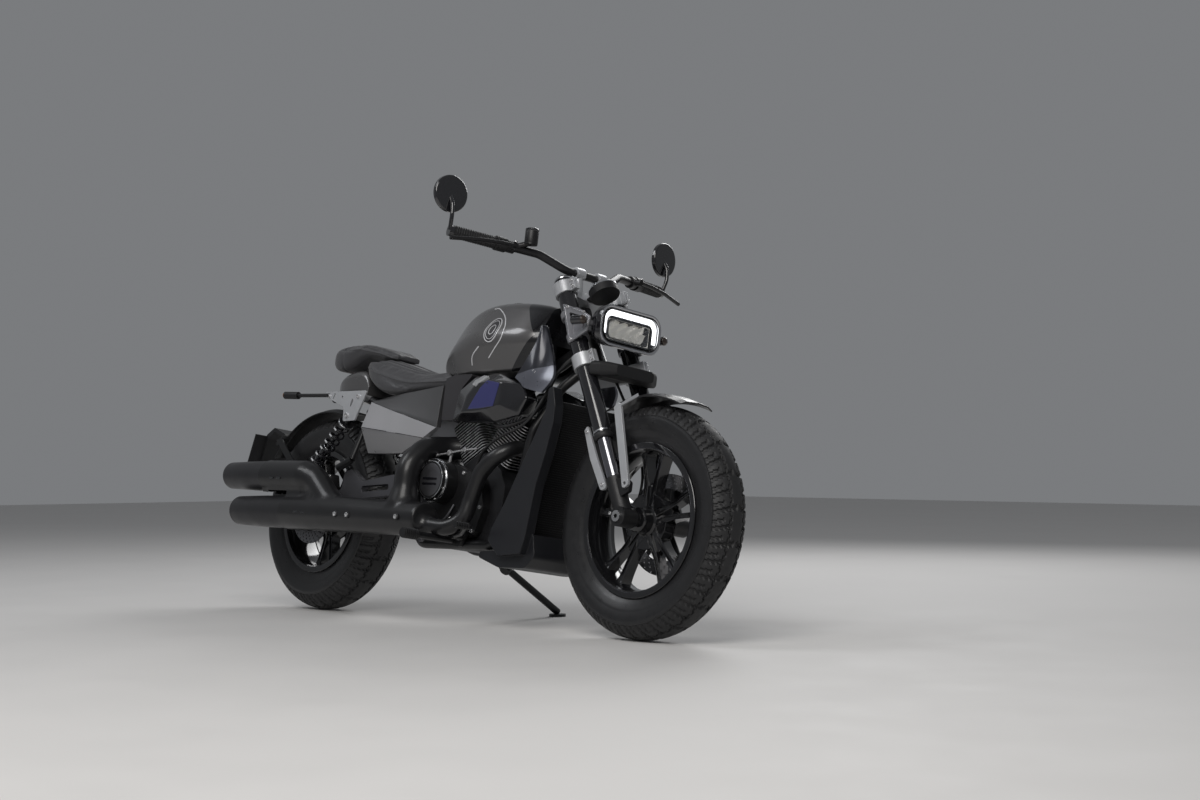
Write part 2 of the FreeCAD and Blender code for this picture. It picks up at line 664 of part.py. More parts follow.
def cylinder(way):
    """Finned barrel and head leaning by way (-1 rear, +1 front)."""
    pieces = [Part.makeCylinder(CORE_R, HEAD_TOP - DECK, V(0, 0, DECK), Z)]
    pieces.append(box(-52, 52, -58, 58, BARREL_TOP - 6, BARREL_TOP + 4))
    pieces.append(box(-44, 44, -52, 52, HEAD_TOP - 26, HEAD_TOP))
    count = int((HEAD_TOP - 14 - DECK - 8) / FIN_PITCH)
    for k in range(count):
        z = DECK + 8 + k * FIN_PITCH
        fin = plan_slab([(-FIN_HALF_X, -FIN_HALF_Y, 18), (FIN_HALF_X, -FIN_HALF_Y, 18),
                         (FIN_HALF_X, FIN_HALF_Y, 18), (-FIN_HALF_X, FIN_HALF_Y, 18)], z, z + FIN_T)
        pieces.append(fin)
    tower = fuse(pieces)
    tower.rotate(V(0, 0, 0), Y, way * VEE_HALF)
    tower.translate(V(CRANK_X, 0, CRANK_Z))
    half_space = box(CRANK_X - 2, CRANK_X + 400, -200, 200, 300, 800)
    if way > 0:
        half_space = box(CRANK_X - 400, CRANK_X + 2, -200, 200, 300, 800)
    return tower.cut(half_space)


def cylinders():
    return Part.makeCompound([cylinder(-1), cylinder(1)])


CLUTCH_X, CLUTCH_Z, CLUTCH_R, CLUTCH_OUT = 692.0, 406.0, 65.0, 168.0


def clutch_cover():
    y = -CLUTCH_OUT
    base = slab([(628, 270, 20), (700, 244, 20), (850, 250, 30), (880, 330, 30), (860, 420, 30), (700, 470, 30),
                 (620, 440, 20)], -CASE_HALF, -112)
    drum = cross_rod(CLUTCH_X, CLUTCH_Z, -110, y + 8, CLUTCH_R)
    lid = cross_rod(CLUTCH_X, CLUTCH_Z, y + 8, y, CLUTCH_R - 8)
    return fuse([base, drum, lid])


def generator_cover():
    base = slab([(720, 300, 30), (830, 262, 30), (910, 320, 30), (900, 440, 30), (812, 470, 30), (722, 440, 20)],
                CASE_HALF, 114)
    drum = cross_rod(CRANK_X, CRANK_Z - 20, 113, 150, 62)
    return fuse([base, drum])


def exhaust_headers():
    """Shielded pipe from each cylinder to the silencers."""
    rear = pipe([V(676, -34, 520), V(640, -76, 512), V(630, -150, 502), V(627, -206, 440), V(627, -206, 360)],
                36, 70)
    foot = Part.makeCone(30, 52, 76, V(627, -206, 400), -Z)
    front = pipe([V(946, -30, 520), V(976, -66, 514), V(984, -122, 502), V(956, -154, 474), V(904, -156, 428),
                  V(878, -158, 352), V(872, -168, 292), V(828, -192, 262), V(744, -206, 268)], 24, 60)
    return Part.makeCompound([front, fuse([rear, foot])])


SILENCER_Y = 212.0


def silencers():
    y = -SILENCER_Y
    lower = loft_tube([(-42, 290, 54), (280, 290, 56), (420, 288, 54), (750, 283, 50)], y)
    upper = loft_tube([(-148, 404, 51), (130, 404, 51), (175, 396, 44)], y)
    branch = pipe([V(110, y, 404), V(170, y, 400), V(260, y, 330), V(330, y, 296)], 40, 60)
    return fuse([lower, upper, branch])


def loft_tube(stations, y):
    """Round body along x from (x, z, radius)."""
    rings = [Part.Wire(Part.makeCircle(r, V(x, y, z), X)) for x, z, r in stations]
    return Part.makeLoft(rings, True, True)


def silencer_tips():
    tips = []
    for x0, x1, z, r in ((-42, -227, 290, 54), (-148, -299, 404, 51)):
        y = -SILENCER_Y
        outer = Part.makeCone(r - 8, r - 3, x0 - x1, V(x1, y, z), X)
        bore = Part.makeCone(r - 13, r - 11, 110, V(x1 - 1, y, z), X)
        tips.append(outer.cut(bore))
    return Part.makeCompound(tips)


# tank stations: x, half width, bottom, height of widest part, top
TANK = ((520, 26, 752, 772, 790), (600, 84, 738, 796, 868), (690, 124, 732, 818, 926),
        (790, 148, 730, 830, 948), (900, 150, 730, 834, 947), (985, 136, 738, 834, 938),
        (1034, 106, 760, 834, 928))


def tank_solid():
    wires = []
    for x, half, low, mid, top in TANK:
        scale = half / 150.0
        table = [(-0.78 * half, low, 14 * scale), (0.78 * half, low, 14 * scale),
                 (half, mid, 60 * scale), (0.52 * half, top, 55 * scale), (-0.52 * half, top, 55 * scale),
                 (-half, mid, 60 * scale)]
        wires.append(corners(table, lambda p, x=x: V(x, p.x, p.y)))
    return loft(wires)


def fuel_tank(frame_shape):
    tunnel = box(500, 1100, -34, 34, 600, 772)
    slope = slab([(900, 760, 0), (1100, 760, 0), (1100, 850, 0), (1000, 800, 0)], -34, 34)
    return tank_solid().cut(tunnel).cut(slope).cut(frame_shape)


def fuel_cap():
    return rod(V(830, 0, 925), V(830, 0, 956), 34)


def tank_side_panels(tank, pods):
    def panel(side):
        rows = [[(1001, 150, 705), (1034, 144, 757), (1052, 130, 812), (1052, 118, 858)],
                [(1030, 152, 688), (1062, 146, 730), (1068, 130, 790), (1055, 116, 862)],
                [(1048, 150, 674), (1094, 140, 703), (1092, 122, 766), (1058, 110, 862)],
                [(1112, 142, 660), (1138, 130, 702), (1120, 116, 752), (1062, 106, 858)]]
        placed = [[(x, side * y, z) for x, y, z in row] for row in rows]
        return sheet_panel(placed, -side * 14)
    return both(panel).cut(tank).cut(pods)


def side_covers():
    def cover(side):
        rows = [[(343, 118, 664), (440, 120, 676), (540, 120, 686), (640, 120, 697)],
                [(320, 143, 650), (432, 146, 622), (545, 146, 594), (655, 140, 568)],
                [(277, 140, 571), (380, 144, 560), (488, 144, 548), (593, 138, 536)],
                [(303, 120, 492), (360, 120, 491), (418, 120, 491), (474, 120, 492)]]
        placed = [[(x, side * y, z) for x, y, z in row] for row in rows]
        skin = sheet_panel(placed, -side * 40)
        return skin.cut(box(0, 900, -COVER_IN, COVER_IN, 300, 900))
    return both(cover)


def column_covers():
    return both(lambda side: side_slab([(659, 590, 6), (659, 716, 10), (704, 726, 8), (786, 726, 4), (738, 684, 20),
                                        (726, 590, 6)], side, COLUMN_IN, 128))


def air_pods():
    def pod(side):
        inner = [(752, 590), (770, 668), (832, 706), (934, 710), (1024, 680), (1050, 644), (1024, 600), (934, 584),
                 (820, 584)]
        outer = [(738, 585), (758, 674), (827, 713), (936, 718), (1035, 684), (1065, 644), (1035, 594), (936, 575),
                 (817, 575)]
        face = [(812, 602), (830, 650), (866, 686), (930, 692), (978, 688), (984, 650), (976, 620), (930, 610),
                (870, 604)]
        rings = []
        for y, points in ((92, inner), (150, outer), (180, face)):
            rings.append(Part.makePolygon([V(x, side * y, z) for x, z in points + points[:1]]))
        duct = cross_rod(880, 640, side * 60, side * 93, 40)
        return fuse([loft(rings, True), duct])
    return both(pod)


def radiator():
    core = slab([(1062, 262, 4), (1092, 258, 4), (1112, 396, 30), (1150, 560, 30), (1160, 640, 4), (1130, 644, 4),
                 (1120, 570, 30), (1082, 400, 30)], -115.7, 115.7)
    return core


def radiator_shroud():
    """Two cheeks beside the core and the scoop below it."""
    cheek = [(1150, 668, 4), (1148, 608, 60), (1016, 344, 60), (972, 272, 20), (962, 238, 12), (1010, 196, 14),
             (1106, 204, 10), (1120, 250, 30), (1140, 396, 60), (1166, 486, 60), (1184, 570, 40), (1184, 622, 14),
             (1168, 676, 4)]
    cheeks = [side_slab(cheek, side, 116, 148) for side in SIDES]
    scoop = slab([(900, 190, 8), (992, 164, 30), (1104, 166, 24), (1142, 200, 20), (1126, 262, 6), (1056, 254, 6),
                  (1020, 214, 20), (906, 206, 6)], -124, 124)
    return fuse(cheeks + [scoop])


# rider's seat and pillion pad stations: x, half width, bottom, top, corner radius
SEAT = ((206, 92, 768, 797, 12), (260, 122, 724, 800, 22), (345, 134, 684, 782, 26), (430, 132, 677, 760, 26),
        (540, 108, 687, 748, 24), (630, 80, 702, 745, 16))
PILLION = ((-14, 62, 784, 822, 16), (18, 90, 767, 842, 26), (84, 98, 772, 850, 26), (150, 94, 803, 851, 20),
           (230, 74, 803, 838, 14), (296, 46, 799, 818, 6))
COWL = ((22, 58, 682, 712, 8), (64, 84, 681, 745, 18), (120, 96, 681, 760, 22), (190, 98, 681, 761, 22),
        (234, 100, 681, 712, 10))


def stations(table):
    return loft([station(*row) for row in table])


def seat(frame_shape):
    return stations(SEAT).cut(frame_shape)


def pillion_pad(rider):
    return stations(PILLION).cut(rider)


def tail_cowl(rider, pad, frame_shape):
    return stations(COWL).cut(rider).cut(pad).cut(frame_shape)


BRACKET_IN, BRACKET_T = 144.0, 6.0
SHOCK_Y = 132.0
EYE_HALF = 10.0
RACK_AT = (170.0, 668.0)
SHOCK_TOP = (206.0, 608.0)
SHOCK_FOOT = (-26.0, REAR_TYRE_R + 80)


def tail_brackets(frame_shape):
    def bracket(side):
        plate = side_slab([(70, 675, 2), (80, 686, 2), (298, 686, 6), (250, 592, 4), (188, 590, 6), (184, 635, 4),
                           (146, 648, 6)], side, BRACKET_IN, BRACKET_IN + BRACKET_T)
        slot = side_slab([(118, 662, 2), (126, 680, 2), (132, 680, 2), (124, 662, 2)], side, 100, 160)
        gap = side_slab([(214, 636, 4), (222, 660, 4), (232, 660, 4), (224, 636, 4)], side, 100, 160)
        bosses = [cross_rod(x, z, side * 100, side * BRACKET_IN, 9) for x, z in ((98, 672), (256, 668))]
        pin = cross_rod(SHOCK_TOP[0], SHOCK_TOP[1], side * (SHOCK_Y - 14), side * BRACKET_IN, 7)
        boss = cross_rod(SHOCK_TOP[0], SHOCK_TOP[1], side * (SHOCK_Y + EYE_HALF), side * BRACKET_IN, 12)
        rack = cross_rod(RACK_AT[0], RACK_AT[1], side * 100, side * 200, RACK_HOLE_R)
        return fuse([plate.cut(slot).cut(gap).cut(rack)] + bosses + [pin, boss])
    return both(bracket).cut(frame_shape)


def coil(foot, top, r, wire_r, turns, per_turn, sides):
    """Open coil spring as a faceted bar wound round the line from foot to top."""
    axis = (top - foot).normalize()
    across = axis.cross(Y).normalize()
    other = axis.cross(across).normalize()
    length = (top - foot).Length
    rings = []
    count = int(turns * per_turn)
    for k in range(count + 1):
        turn = 2 * math.pi * k / per_turn
        out = across * math.cos(turn) + other * math.sin(turn)
        centre = foot + axis * (length * k / count) + out * r
        ring = []
        for j in range(sides):
            a = 2 * math.pi * j / sides
            ring.append(centre + out * (wire_r * math.cos(a)) + axis * (wire_r * math.sin(a)))
        rings.append(ring)
    faces = []
    for a, b in zip(rings, rings[1:]):
        for j in range(sides):
            k = (j + 1) % sides
            for tri in ((a[j], a[k], b[k]), (a[j], b[k], b[j])):
                faces.append(Part.Face(Part.makePolygon(list(tri) + [tri[0]])))
    for ring in (rings[0], rings[-1]):
        faces.append(Part.Face(Part.makePolygon(ring + ring[:1])))
    solid = Part.makeSolid(Part.makeShell(faces))
    if solid.Volume < 0:
        solid.reverse()
    return solid


def shock_line(side):
    return (V(SHOCK_FOOT[0], side * SHOCK_Y, SHOCK_FOOT[1]), V(SHOCK_TOP[0], side * SHOCK_Y, SHOCK_TOP[1]))


def shock_absorbers():
    def shock(side):
        foot, top = shock_line(side)
        axis = (top - foot).normalize()
        length = (top - foot).Length
        eyes = [cross_rod(p.x, p.z, side * (SHOCK_Y - EYE_HALF), side * (SHOCK_Y + EYE_HALF), 14) for p in (foot, top)]
        body = rod(foot + axis * 22, foot + axis * (0.55 * length), 14)
        shaft = rod(foot + axis * 4, top - axis * 4, 7)
        cups = [rod(foot + axis * a, foot + axis * b, 24) for a, b in ((34, 40), (length - 40, length - 30))]
        pieces = fuse(eyes + [body, shaft] + cups)
        for p, r in ((foot, 8), (top, 7)):
            pieces = pieces.cut(cross_rod(p.x, p.z, -300, 300, r))
        return pieces
    return both(shock)


def shock_springs():
    def spring(side):
        foot, top = shock_line(side)
        axis = (top - foot).normalize()
        length = (top - foot).Length
        return coil(foot + axis * 44.5, foot + axis * (length - 44.5), 20, 4.2, 8, 10, 6)
    return both(spring)


def swingarm():
    def arm(side):
        under = at_wheel([(-46, -20, 20), (40, -24, 20)]) + at_pivot([(-210, -52, 20), (-30, -38, 20), (34, -24, 22)])
        over = at_pivot([(34, 24, 22), (-50, 24, 20), (-200, 2, 10), (-262, 40, 8), (-295, 32, 8), (-304, -24, 20)])
        heel = at_wheel([(60, 28, 10), (30, 40, 4), (-46, 40, 10)])
        plate = side_slab(under + over + heel, side, ARM_IN, ARM_IN + ARM_T)
        window = side_slab(at_pivot([(-204, -32, 8), (-60, -22, 8), (-60, -4, 8), (-194, -12, 8)]), side, ARM_IN - 1,
                           ARM_IN + ARM_T + 1)
        x, z = SHOCK_FOOT
        lug = side_slab(at_wheel([(-44, 28, 0), (-6, 28, 0)]) + [(x + 13, z + 6, 8), (x - 13, z + 6, 8)], side,
                        ARM_IN + 2, SHOCK_Y - EYE_HALF - 0.5)
        pin = cross_rod(SHOCK_FOOT[0], SHOCK_FOOT[1], side * (ARM_IN + 2), side * (SHOCK_Y + EYE_HALF + 3), 8)
        return fuse([plate.cut(window), lug, pin])
    bridge = box(352, 400, -ARM_IN - 1, ARM_IN + 1, 362, 380)
    shaft = cross_rod(PIVOT_X, PIVOT_Z, -ARM_IN - 1, ARM_IN + 1, 12)
    joined = fuse([arm(RIGHT), arm(LEFT), shaft, bridge])
    axle_hole = cross_rod(0, REAR_TYRE_R, -300, 300, AXLE_R)
    chain_gap = box(330, 420, CHAIN_Y - 6, CHAIN_Y + CHAIN_W + 6, 330, 384)
    return joined.cut(axle_hole).cut(chain_gap)


def rear_axle():
    shaft = cross_rod(0, REAR_TYRE_R, -ARM_IN - ARM_T, ARM_IN + ARM_T, AXLE_R)
    caps = [cross_rod(0, REAR_TYRE_R, s * (ARM_IN + ARM_T), s * (ARM_IN + ARM_T + REAR_NUT), 17) for s in SIDES]
    return fuse([shaft] + caps).cut(cross_rod(0, REAR_TYRE_R, -200, 200, AXLE_BORE_R))


def chain_outline(grow):
    """Racetrack round the two sprockets, as a face at the chain's inner side."""
    y = CHAIN_Y
    big, small = SPROCKET_R + 2 + grow, DRIVE_R + grow
    a, b = V(0, y, REAR_TYRE_R), V(DRIVE_X, y, DRIVE_Z)
    line = b - a
    ang = math.atan2(line.z, line.x)
    off = math.acos((big - small) / line.Length)
    up, down = ang + off, ang - off
    at = lambda c, r, t: V(c.x + r * math.cos(t), y, c.z + r * math.sin(t))
    return Part.Wire([
        Part.LineSegment(at(a, big, up), at(b, small, up)).toShape(),
        Part.Arc(at(b, small, up), at(b, small, ang), at(b, small, down)).toShape(),
        Part.LineSegment(at(b, small, down), at(a, big, down)).toShape(),
        Part.Arc(at(a, big, down), at(a, big, ang + math.pi), at(a, big, up)).toShape()])


def drive_chain():
    outer = Part.Face(chain_outline(12)).extrude(V(0, CHAIN_W, 0))
    inner = Part.Face(chain_outline(0)).extrude(V(0, CHAIN_W, 0))
    return outer.cut(inner)


def drive_sprocket():
    wheel = cross_rod(DRIVE_X, DRIVE_Z, CHAIN_Y + 2, CHAIN_Y + CHAIN_W - 2, DRIVE_R)
    return fuse([wheel, cross_rod(DRIVE_X, DRIVE_Z, CASE_HALF, CHAIN_Y + CHAIN_W + 6, 12)])


def rear_sprocket():
    y0, y1 = CHAIN_Y + 2, CHAIN_Y + CHAIN_W - 2
    ring = spin([(52, y0, 0), (SPROCKET_R, y0, 0), (SPROCKET_R, y1, 0), (52, y1, 0)], AXLE_REAR)
    web = spin([(22, y0, 0), (54, y0, 0), (54, y1, 0), (22, y1, 0)], AXLE_REAR)
    return fuse([ring, web])


def chain_guard(arm_shape):
    back, front = at_wheel([(24, 107, 2), (120, 114, 0)]), at_pivot([(-80, 51, 0), (-30, 55, 2)])
    strip = slab(back + front + at_pivot([(-30, 48, 2), (-80, 44, 0)]) + at_wheel([(120, 107, 0), (24, 100, 2)]),
                 84, 103.7)
    side = slab(back + front + at_pivot([(-30, 28, 2), (-200, 10, 0)]) + at_wheel([(120, 78, 0), (24, 72, 2)]),
                100.5, 103.7)
    return fuse([strip, side]).cut(arm_shape)


def hugger():
    inner = REAR_TYRE_R + 14
    table = [(inner - 6, -80, 0), (inner + 6, -52, 0), (inner + 9, 0, 0), (inner + 6, 52, 0), (inner - 6, 80, 0),
             (inner - 2, 80, 0), (inner + 10, 52, 0), (inner + 13, 0, 0), (inner + 10, -52, 0), (inner - 2, -80, 0)]
    wire = corners(table, lambda p: V(AXLE_REAR.x + p.x, p.y, AXLE_REAR.z))
    arc = Part.Face(wire).revolve(AXLE_REAR, Y, -72)
    arc.rotate(AXLE_REAR, Y, -76)
    return arc


def rear_fender(arm_shape):
    """Hugger with its struts and the bare number-plate hanger."""
    hook = slab(at_wheel([(-262, 200, 0), (-300, 260, 10), (-366, 282, 10), (-408, 258, 6), (-448, 108, 2),
                          (-442, 106, 2), (-398, 244, 6), (-364, 268, 6), (-308, 248, 8), (-276, 194, 0)]), -34, 34)
    plate = slab(at_wheel([(-408, 254, 0), (-449, 108, 0), (-445, 107, 0), (-404, 252, 0)]), -80, 80)
    strut = at_wheel([(-240, 226, 0), (-214, 236, 0), (8, 40, 0), (-18, 34, 0)])
    leg = at_wheel([(-246, 218, 0), (-210, 244, 0), (-206, 232, 0), (-238, 208, 0)])
    struts = [side_slab(strut, s, 99, 103.8) for s in SIDES]
    legs = [side_slab(leg, s, 74, 100) for s in SIDES]
    return fuse([hugger(), hook, plate] + struts + legs).cut(arm_shape)


def rear_indicators():
    def lamp(side):
        arm = rod(V(100, side * (BRACKET_IN + BRACKET_T + 3), 674), V(-60, side * 160, 676), 6)
        head = rod(V(-60, side * 160, 676), V(-118, side * 172, 676), 12)
        return fuse([arm, head])
    return both(lamp)


def tail_lamp(cowl):
    return loft([station(8, 48, 694, 712, 6), station(40, 56, 694, 716, 6)], True).cut(cowl)


def footpegs():
    def peg(side):
        pivot = cross_rod(822, 244, side * 129, side * 168, 9)
        lever = pipe([V(822, side * 160, 244), V(870, side * 172, 250), V(940, side * 214, 268)], 7, 30)
        pad = cross_rod(944, 268, side * 206, side * 258, 9)
        plate = side_slab([(700, 226, 6), (812, 216, 6), (842, 262, 10), (800, 292, 10), (716, 270, 8)], side,
                          CRADLE_Y + CRADLE_R, 130)
        arm = cross_rod(786, 234, side * 129, side * 266, 10)
        bar = cross_rod(786, 234, side * 264, side * 318, 14)
        return fuse([plate, arm, bar, pivot, lever, pad])
    return both(peg)


def pillion_pegs(frame_shape):
    def hanger(side):
        drop = pipe([V(300, side * RAIL_Y, 650), V(262, side * 118, 560), V(250, side * 140, 470)], 9, 40)
        bar = rod(V(250, side * 140, 470), V(196, side * 150, 440), 12)
        return fuse([drop, bar])
    return both(hanger).cut(frame_shape)


def rear_caliper(arm_shape):
    block = slab(at_wheel([(60, 60, 10), (112, 68, 10), (96, 118, 10), (50, 108, 10)]), -ARM_IN, -72)
    slot = cross_rod(0, REAR_TYRE_R, -92, -84, 111)
    lug = slab(at_wheel([(60, 18, 0), (100, 28, 0), (104, 88, 4), (64, 88, 4)]), -ARM_IN, -94)
    return fuse([block.cut(slot), lug]).cut(arm_shape)


# Cords that the machine holds all the way

CORD_R = 4.0
CLUTCH_CABLE = (V(1140, -20, 790), V(1120, -60, 760), V(1112, -100, 715), V(1108, -116, 668), V(1090, -127, 622),
                V(1062, -134, 580), V(1015, -138, 556), V(958, -136, 540), V(902, -128, 520), V(855, -114, 498),
                V(820, -101, 470), V(806, -98, 430))
BREATHER = (V(1142, -26, 803), V(1108, -51, 767), V(1103, -86, 719), V(1099, -102, 674), V(1084, -112, 630),
            V(1054, -120, 594), V(1012, -132, 575), V(966, -138, 564), V(926, -136, 568), V(898, -132, 588))
BRAKE_HOSE = (V(-24, 38, 474), V(-28, 52, 432), V(-36, 72, 392), V(-42, 84, 350), V(-45, 89, 305), V(-48, 88, 260),
              V(-53, 89, 215), V(-64, 88, 176), V(-82, 85, 144), V(-100, 80, 118), V(-111, 76, 88))


def cord(points, r):
    """Hose along its route, with the largest arcs its runs allow; prints their radii."""
    radii = []
    for back, here, on in zip(points, points[1:], points[2:]):
        turn = math.pi - (back - here).getAngle(on - here)
        radii.append(0.45 * min((back - here).Length, (on - here).Length) / math.tan(turn / 2))
    print("cord radii", [round(v) for v in radii])
    return pipe(points, r, max(radii))


def cables(frame_shape, covers, pods):
    clutch = cord(CLUTCH_CABLE, CORD_R).cut(frame_shape).cut(covers)
    breather = cord(BREATHER, CORD_R + 1).cut(frame_shape).cut(pods)
    return Part.makeCompound([clutch, breather])


def brake_hose(lower, horn, caliper):
    return up_fork(cord(BRAKE_HOSE, CORD_R)).cut(lower).cut(horn).cut(caliper)


# Side stand

def stand_points():
    pivot = V(*STAND_PIVOT)
    back = GROUNDED.inverse()
    foot = back.multVec(V(STAND_FOOT[0], STAND_FOOT[1], 0))
    up = back.Rotation.multVec(Z)
    return pivot, foot, up


def stand_axis():
    """Fold axis: tilted so that folding first lowers the foot, as an over-centre stand does."""
    pivot, foot, up = stand_points()
    down = (foot - pivot).normalize()
    folded = V(-0.97, 0.16, 0.02).normalize()
    turn = down.cross(folded).normalize()
    mean = (down + folded).normalize()
    return (turn * 0.93 + mean * 0.37).normalize()


def side_stand():
    pivot, foot, up = stand_points()
    axis = stand_axis()
    pad = Part.makeCylinder(STAND_FOOT_R, STAND_FOOT_T, foot, up)
    top = foot + up * (STAND_FOOT_T + 6)
    leg = rod(pivot, top, STAND_LEG_R)
    eye = Part.makeCylinder(17, EYE_T, pivot - axis * EYE_T / 2, axis)
    shape = fuse([leg, pad, eye])
    bore = Part.makeCylinder(7 + SHAFT_FIT, 60, pivot - axis * 30, axis)
    caps = [Part.makeCylinder(21, 30, pivot + axis * EYE_T / 2, axis),
            Part.makeCylinder(21, 30, pivot - axis * (30 + EYE_T / 2), axis)]
    for cap in caps:
        shape = shape.cut(cap)
    return shape.cut(bore)


def stand_bracket():
    pivot, foot, up = stand_points()
    axis = stand_axis()
    rail = V(pivot.x, CRADLE_Y, 223)
    reach = rail - pivot
    along = (reach - axis * reach.dot(axis)).normalize()
    across = axis.cross(along)
    turn = FreeCAD.Placement(FreeCAD.Matrix(along.x, across.x, axis.x, pivot.x, along.y, across.y, axis.y, pivot.y,
                                            along.z, across.z, axis.z, pivot.z, 0, 0, 0, 1))
    pieces = [Part.makeCylinder(7, 2 * EAR_OUT, V(0, 0, -EAR_OUT), Z)]
    for low in (EYE_T / 2 + 1, -EAR_OUT):
        thick = EAR_OUT - EYE_T / 2 - 1
        pieces.append(Part.makeCylinder(16, thick, V(0, 0, low), Z))
        pieces.append(Part.makeBox(reach.Length, 28, thick, V(0, -14, low)))
    ears = fuse(pieces)
    ears.Placement = turn
    return ears


NODES = {}


def add(name, shape):
    NODES[name] = shape
    return shape


def build():
    bar = add("handlebar", handlebar())
    tubes = add("fork_tubes", fork_tubes())
    stanchions = add("fork_stanchions", fork_stanchions())
    feet = add("fork_feet", fork_feet(stanchions))
    add("front_axle", front_axle())
    upper = add("upper_yoke", upper_yoke())
    lower = add("lower_yoke", lower_yoke())
    add("grips", grips(bar))
    add("hand_controls", hand_controls(bar))
    add("mirrors", mirrors(bar))
    shell = add("headlight_shell", fuse([headlight_shell(), headlight_unit()]))
    add("headlight_lens", headlight_lens())
    brackets = add("headlight_brackets", headlight_brackets(tubes, shell))
    add("front_indicators", front_indicators(brackets))
    add("instrument", instrument(upper))
    horn = add("horn_cover", horn_cover(lower, tubes))
    fender = add("front_fender", front_fender())
    add("fender_stays", fender_stays(fender, feet).cut(stanchions))
    front_disc = add("front_disc", disc(AXLE_F, 56, 61, 100, 140, 30, 50))
    caliper = add("front_caliper", front_caliper(feet).cut(stanchions))
    add("brake_hose", brake_hose(lower, horn, caliper))
    add("front_tyre", tyre(AXLE_F, FRONT_TYRE_R, FRONT_TYRE_HALF, FRONT_CROWN_R, FRONT_RIM_R, FRONT_RIM_HALF))
    front_rim = rim(AXLE_F, FRONT_RIM_R, FRONT_RIM_HALF, FRONT_HUB_HALF, 34, 0)
    add("front_rim", front_rim.cut(front_disc))

    frame_shape = add("frame", fuse([frame(), stand_bracket()]))
    case = add("crankcase", fuse([crankcase(), drive_sprocket()]))
    towers = add("cylinders", cylinders().cut(case))
    covers = add("engine_covers", Part.makeCompound([clutch_cover(), generator_cover()]))
    pipes = add("silencers", fuse([silencers(), silencer_tips()]))
    headers = add("exhaust_headers", exhaust_headers().cut(pipes).cut(towers).cut(covers))
    tank = add("fuel_tank", fuse([fuel_tank(frame_shape), fuel_cap()]))
    pods = add("air_pods", air_pods().cut(towers))
    add("cables", cables(frame_shape, covers, pods))
    add("tank_side_panels", tank_side_panels(tank, pods))
    add("side_covers", side_covers())
    add("column_covers", column_covers())
    shroud = add("radiator_shroud", radiator_shroud())
    add("radiator", radiator().cut(shroud))
    rider = add("seat", seat(frame_shape).cut(tank))
    pad = add("pillion_pad", pillion_pad(rider))
    cowl = add("tail_cowl", tail_cowl(rider, pad, frame_shape))
    brackets = add("tail_brackets", tail_brackets(frame_shape))
    add("rear_shocks", Part.makeCompound(shock_absorbers().Solids + shock_springs().Solids))
    arm_shape = add("swingarm", swingarm())
    add("rear_axle", rear_axle())
    add("drive_chain", drive_chain())
    add("chain_guard", chain_guard(arm_shape))
    add("rear_fender", rear_fender(arm_shape))
    add("rear_indicators", rear_indicators().cut(brackets))
    add("tail_lamp", tail_lamp(cowl))
    add("footpegs", Part.makeCompound(footpegs().cut(headers).Solids + pillion_pegs(frame_shape).Solids))
    add("rear_caliper", rear_caliper(arm_shape))
    add("side_stand", side_stand())
    rear_disc = add("rear_disc", disc(AXLE_REAR, -90, -86, 70, 108, 24, -80))
    sprocket = add("rear_sprocket", rear_sprocket())
    add("rear_tyre", tyre(AXLE_REAR, REAR_TYRE_R, REAR_TYRE_HALF, REAR_CROWN_R, REAR_RIM_R, REAR_RIM_HALF))
    rear_rim = rim(AXLE_REAR, REAR_RIM_R, REAR_RIM_HALF, 98, 40, 36)
    add("rear_rim", rear_rim.cut(rear_disc).cut(sprocket))


def parked():
    """Placement that puts the middle of the parked machine's box over the origin."""
    whole = Part.makeCompound([s.copy() for s in NODES.values()])
    whole.Placement = GROUNDED.multiply(whole.Placement)
    whole_box = whole.optimalBoundingBox(False)
    middle = V((whole_box.XMin + whole_box.XMax) / 2, (whole_box.YMin + whole_box.YMax) / 2, 0)
    return FreeCAD.Placement(-middle, FreeCAD.Rotation()).multiply(GROUNDED), whole_box


build()
PARK, WHOLE_BOX = parked()

if __name__ == "__main__":
    os.makedirs("parts", exist_ok=True)
    for name, shape in NODES.items():
        placed = shape.copy()
        placed.Placement = PARK.multiply(placed.Placement)
        placed.exportStep("parts/%s.step" % name)
        print(name, "solids", len(shape.Solids), "valid", shape.isValid(), "volume", round(shape.Volume))
    print("box", [round(v, 1) for v in (WHOLE_BOX.XLength, WHOLE_BOX.YLength, WHOLE_BOX.ZMin, WHOLE_BOX.ZMax)])
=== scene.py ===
"""Cruiser motorcycle parked on its side stand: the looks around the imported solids."""

import json
import math

import bmesh
import bpy
from bpy.props import FloatProperty, FloatVectorProperty, IntProperty, PointerProperty
from mathutils import Matrix, Vector
from mathutils.bvhtree import BVHTree


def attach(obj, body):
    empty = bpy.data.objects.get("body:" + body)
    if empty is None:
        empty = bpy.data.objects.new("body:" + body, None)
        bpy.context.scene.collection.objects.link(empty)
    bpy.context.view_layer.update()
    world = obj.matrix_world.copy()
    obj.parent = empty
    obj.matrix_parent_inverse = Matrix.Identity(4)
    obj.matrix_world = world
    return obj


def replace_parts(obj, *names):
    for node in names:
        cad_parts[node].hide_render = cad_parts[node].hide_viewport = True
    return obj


bl_info = {
    "name": "Cruiser Motorcycle",
    "version": (1, 0, 0),
    "blender": (4, 5, 0),
    "location": "View3D > Sidebar > Cruiser",
    "description": "Dresses a cruiser motorcycle: tyres, paint, seats, lamps, engine trim and studio",
    "category": "Add Mesh",
}

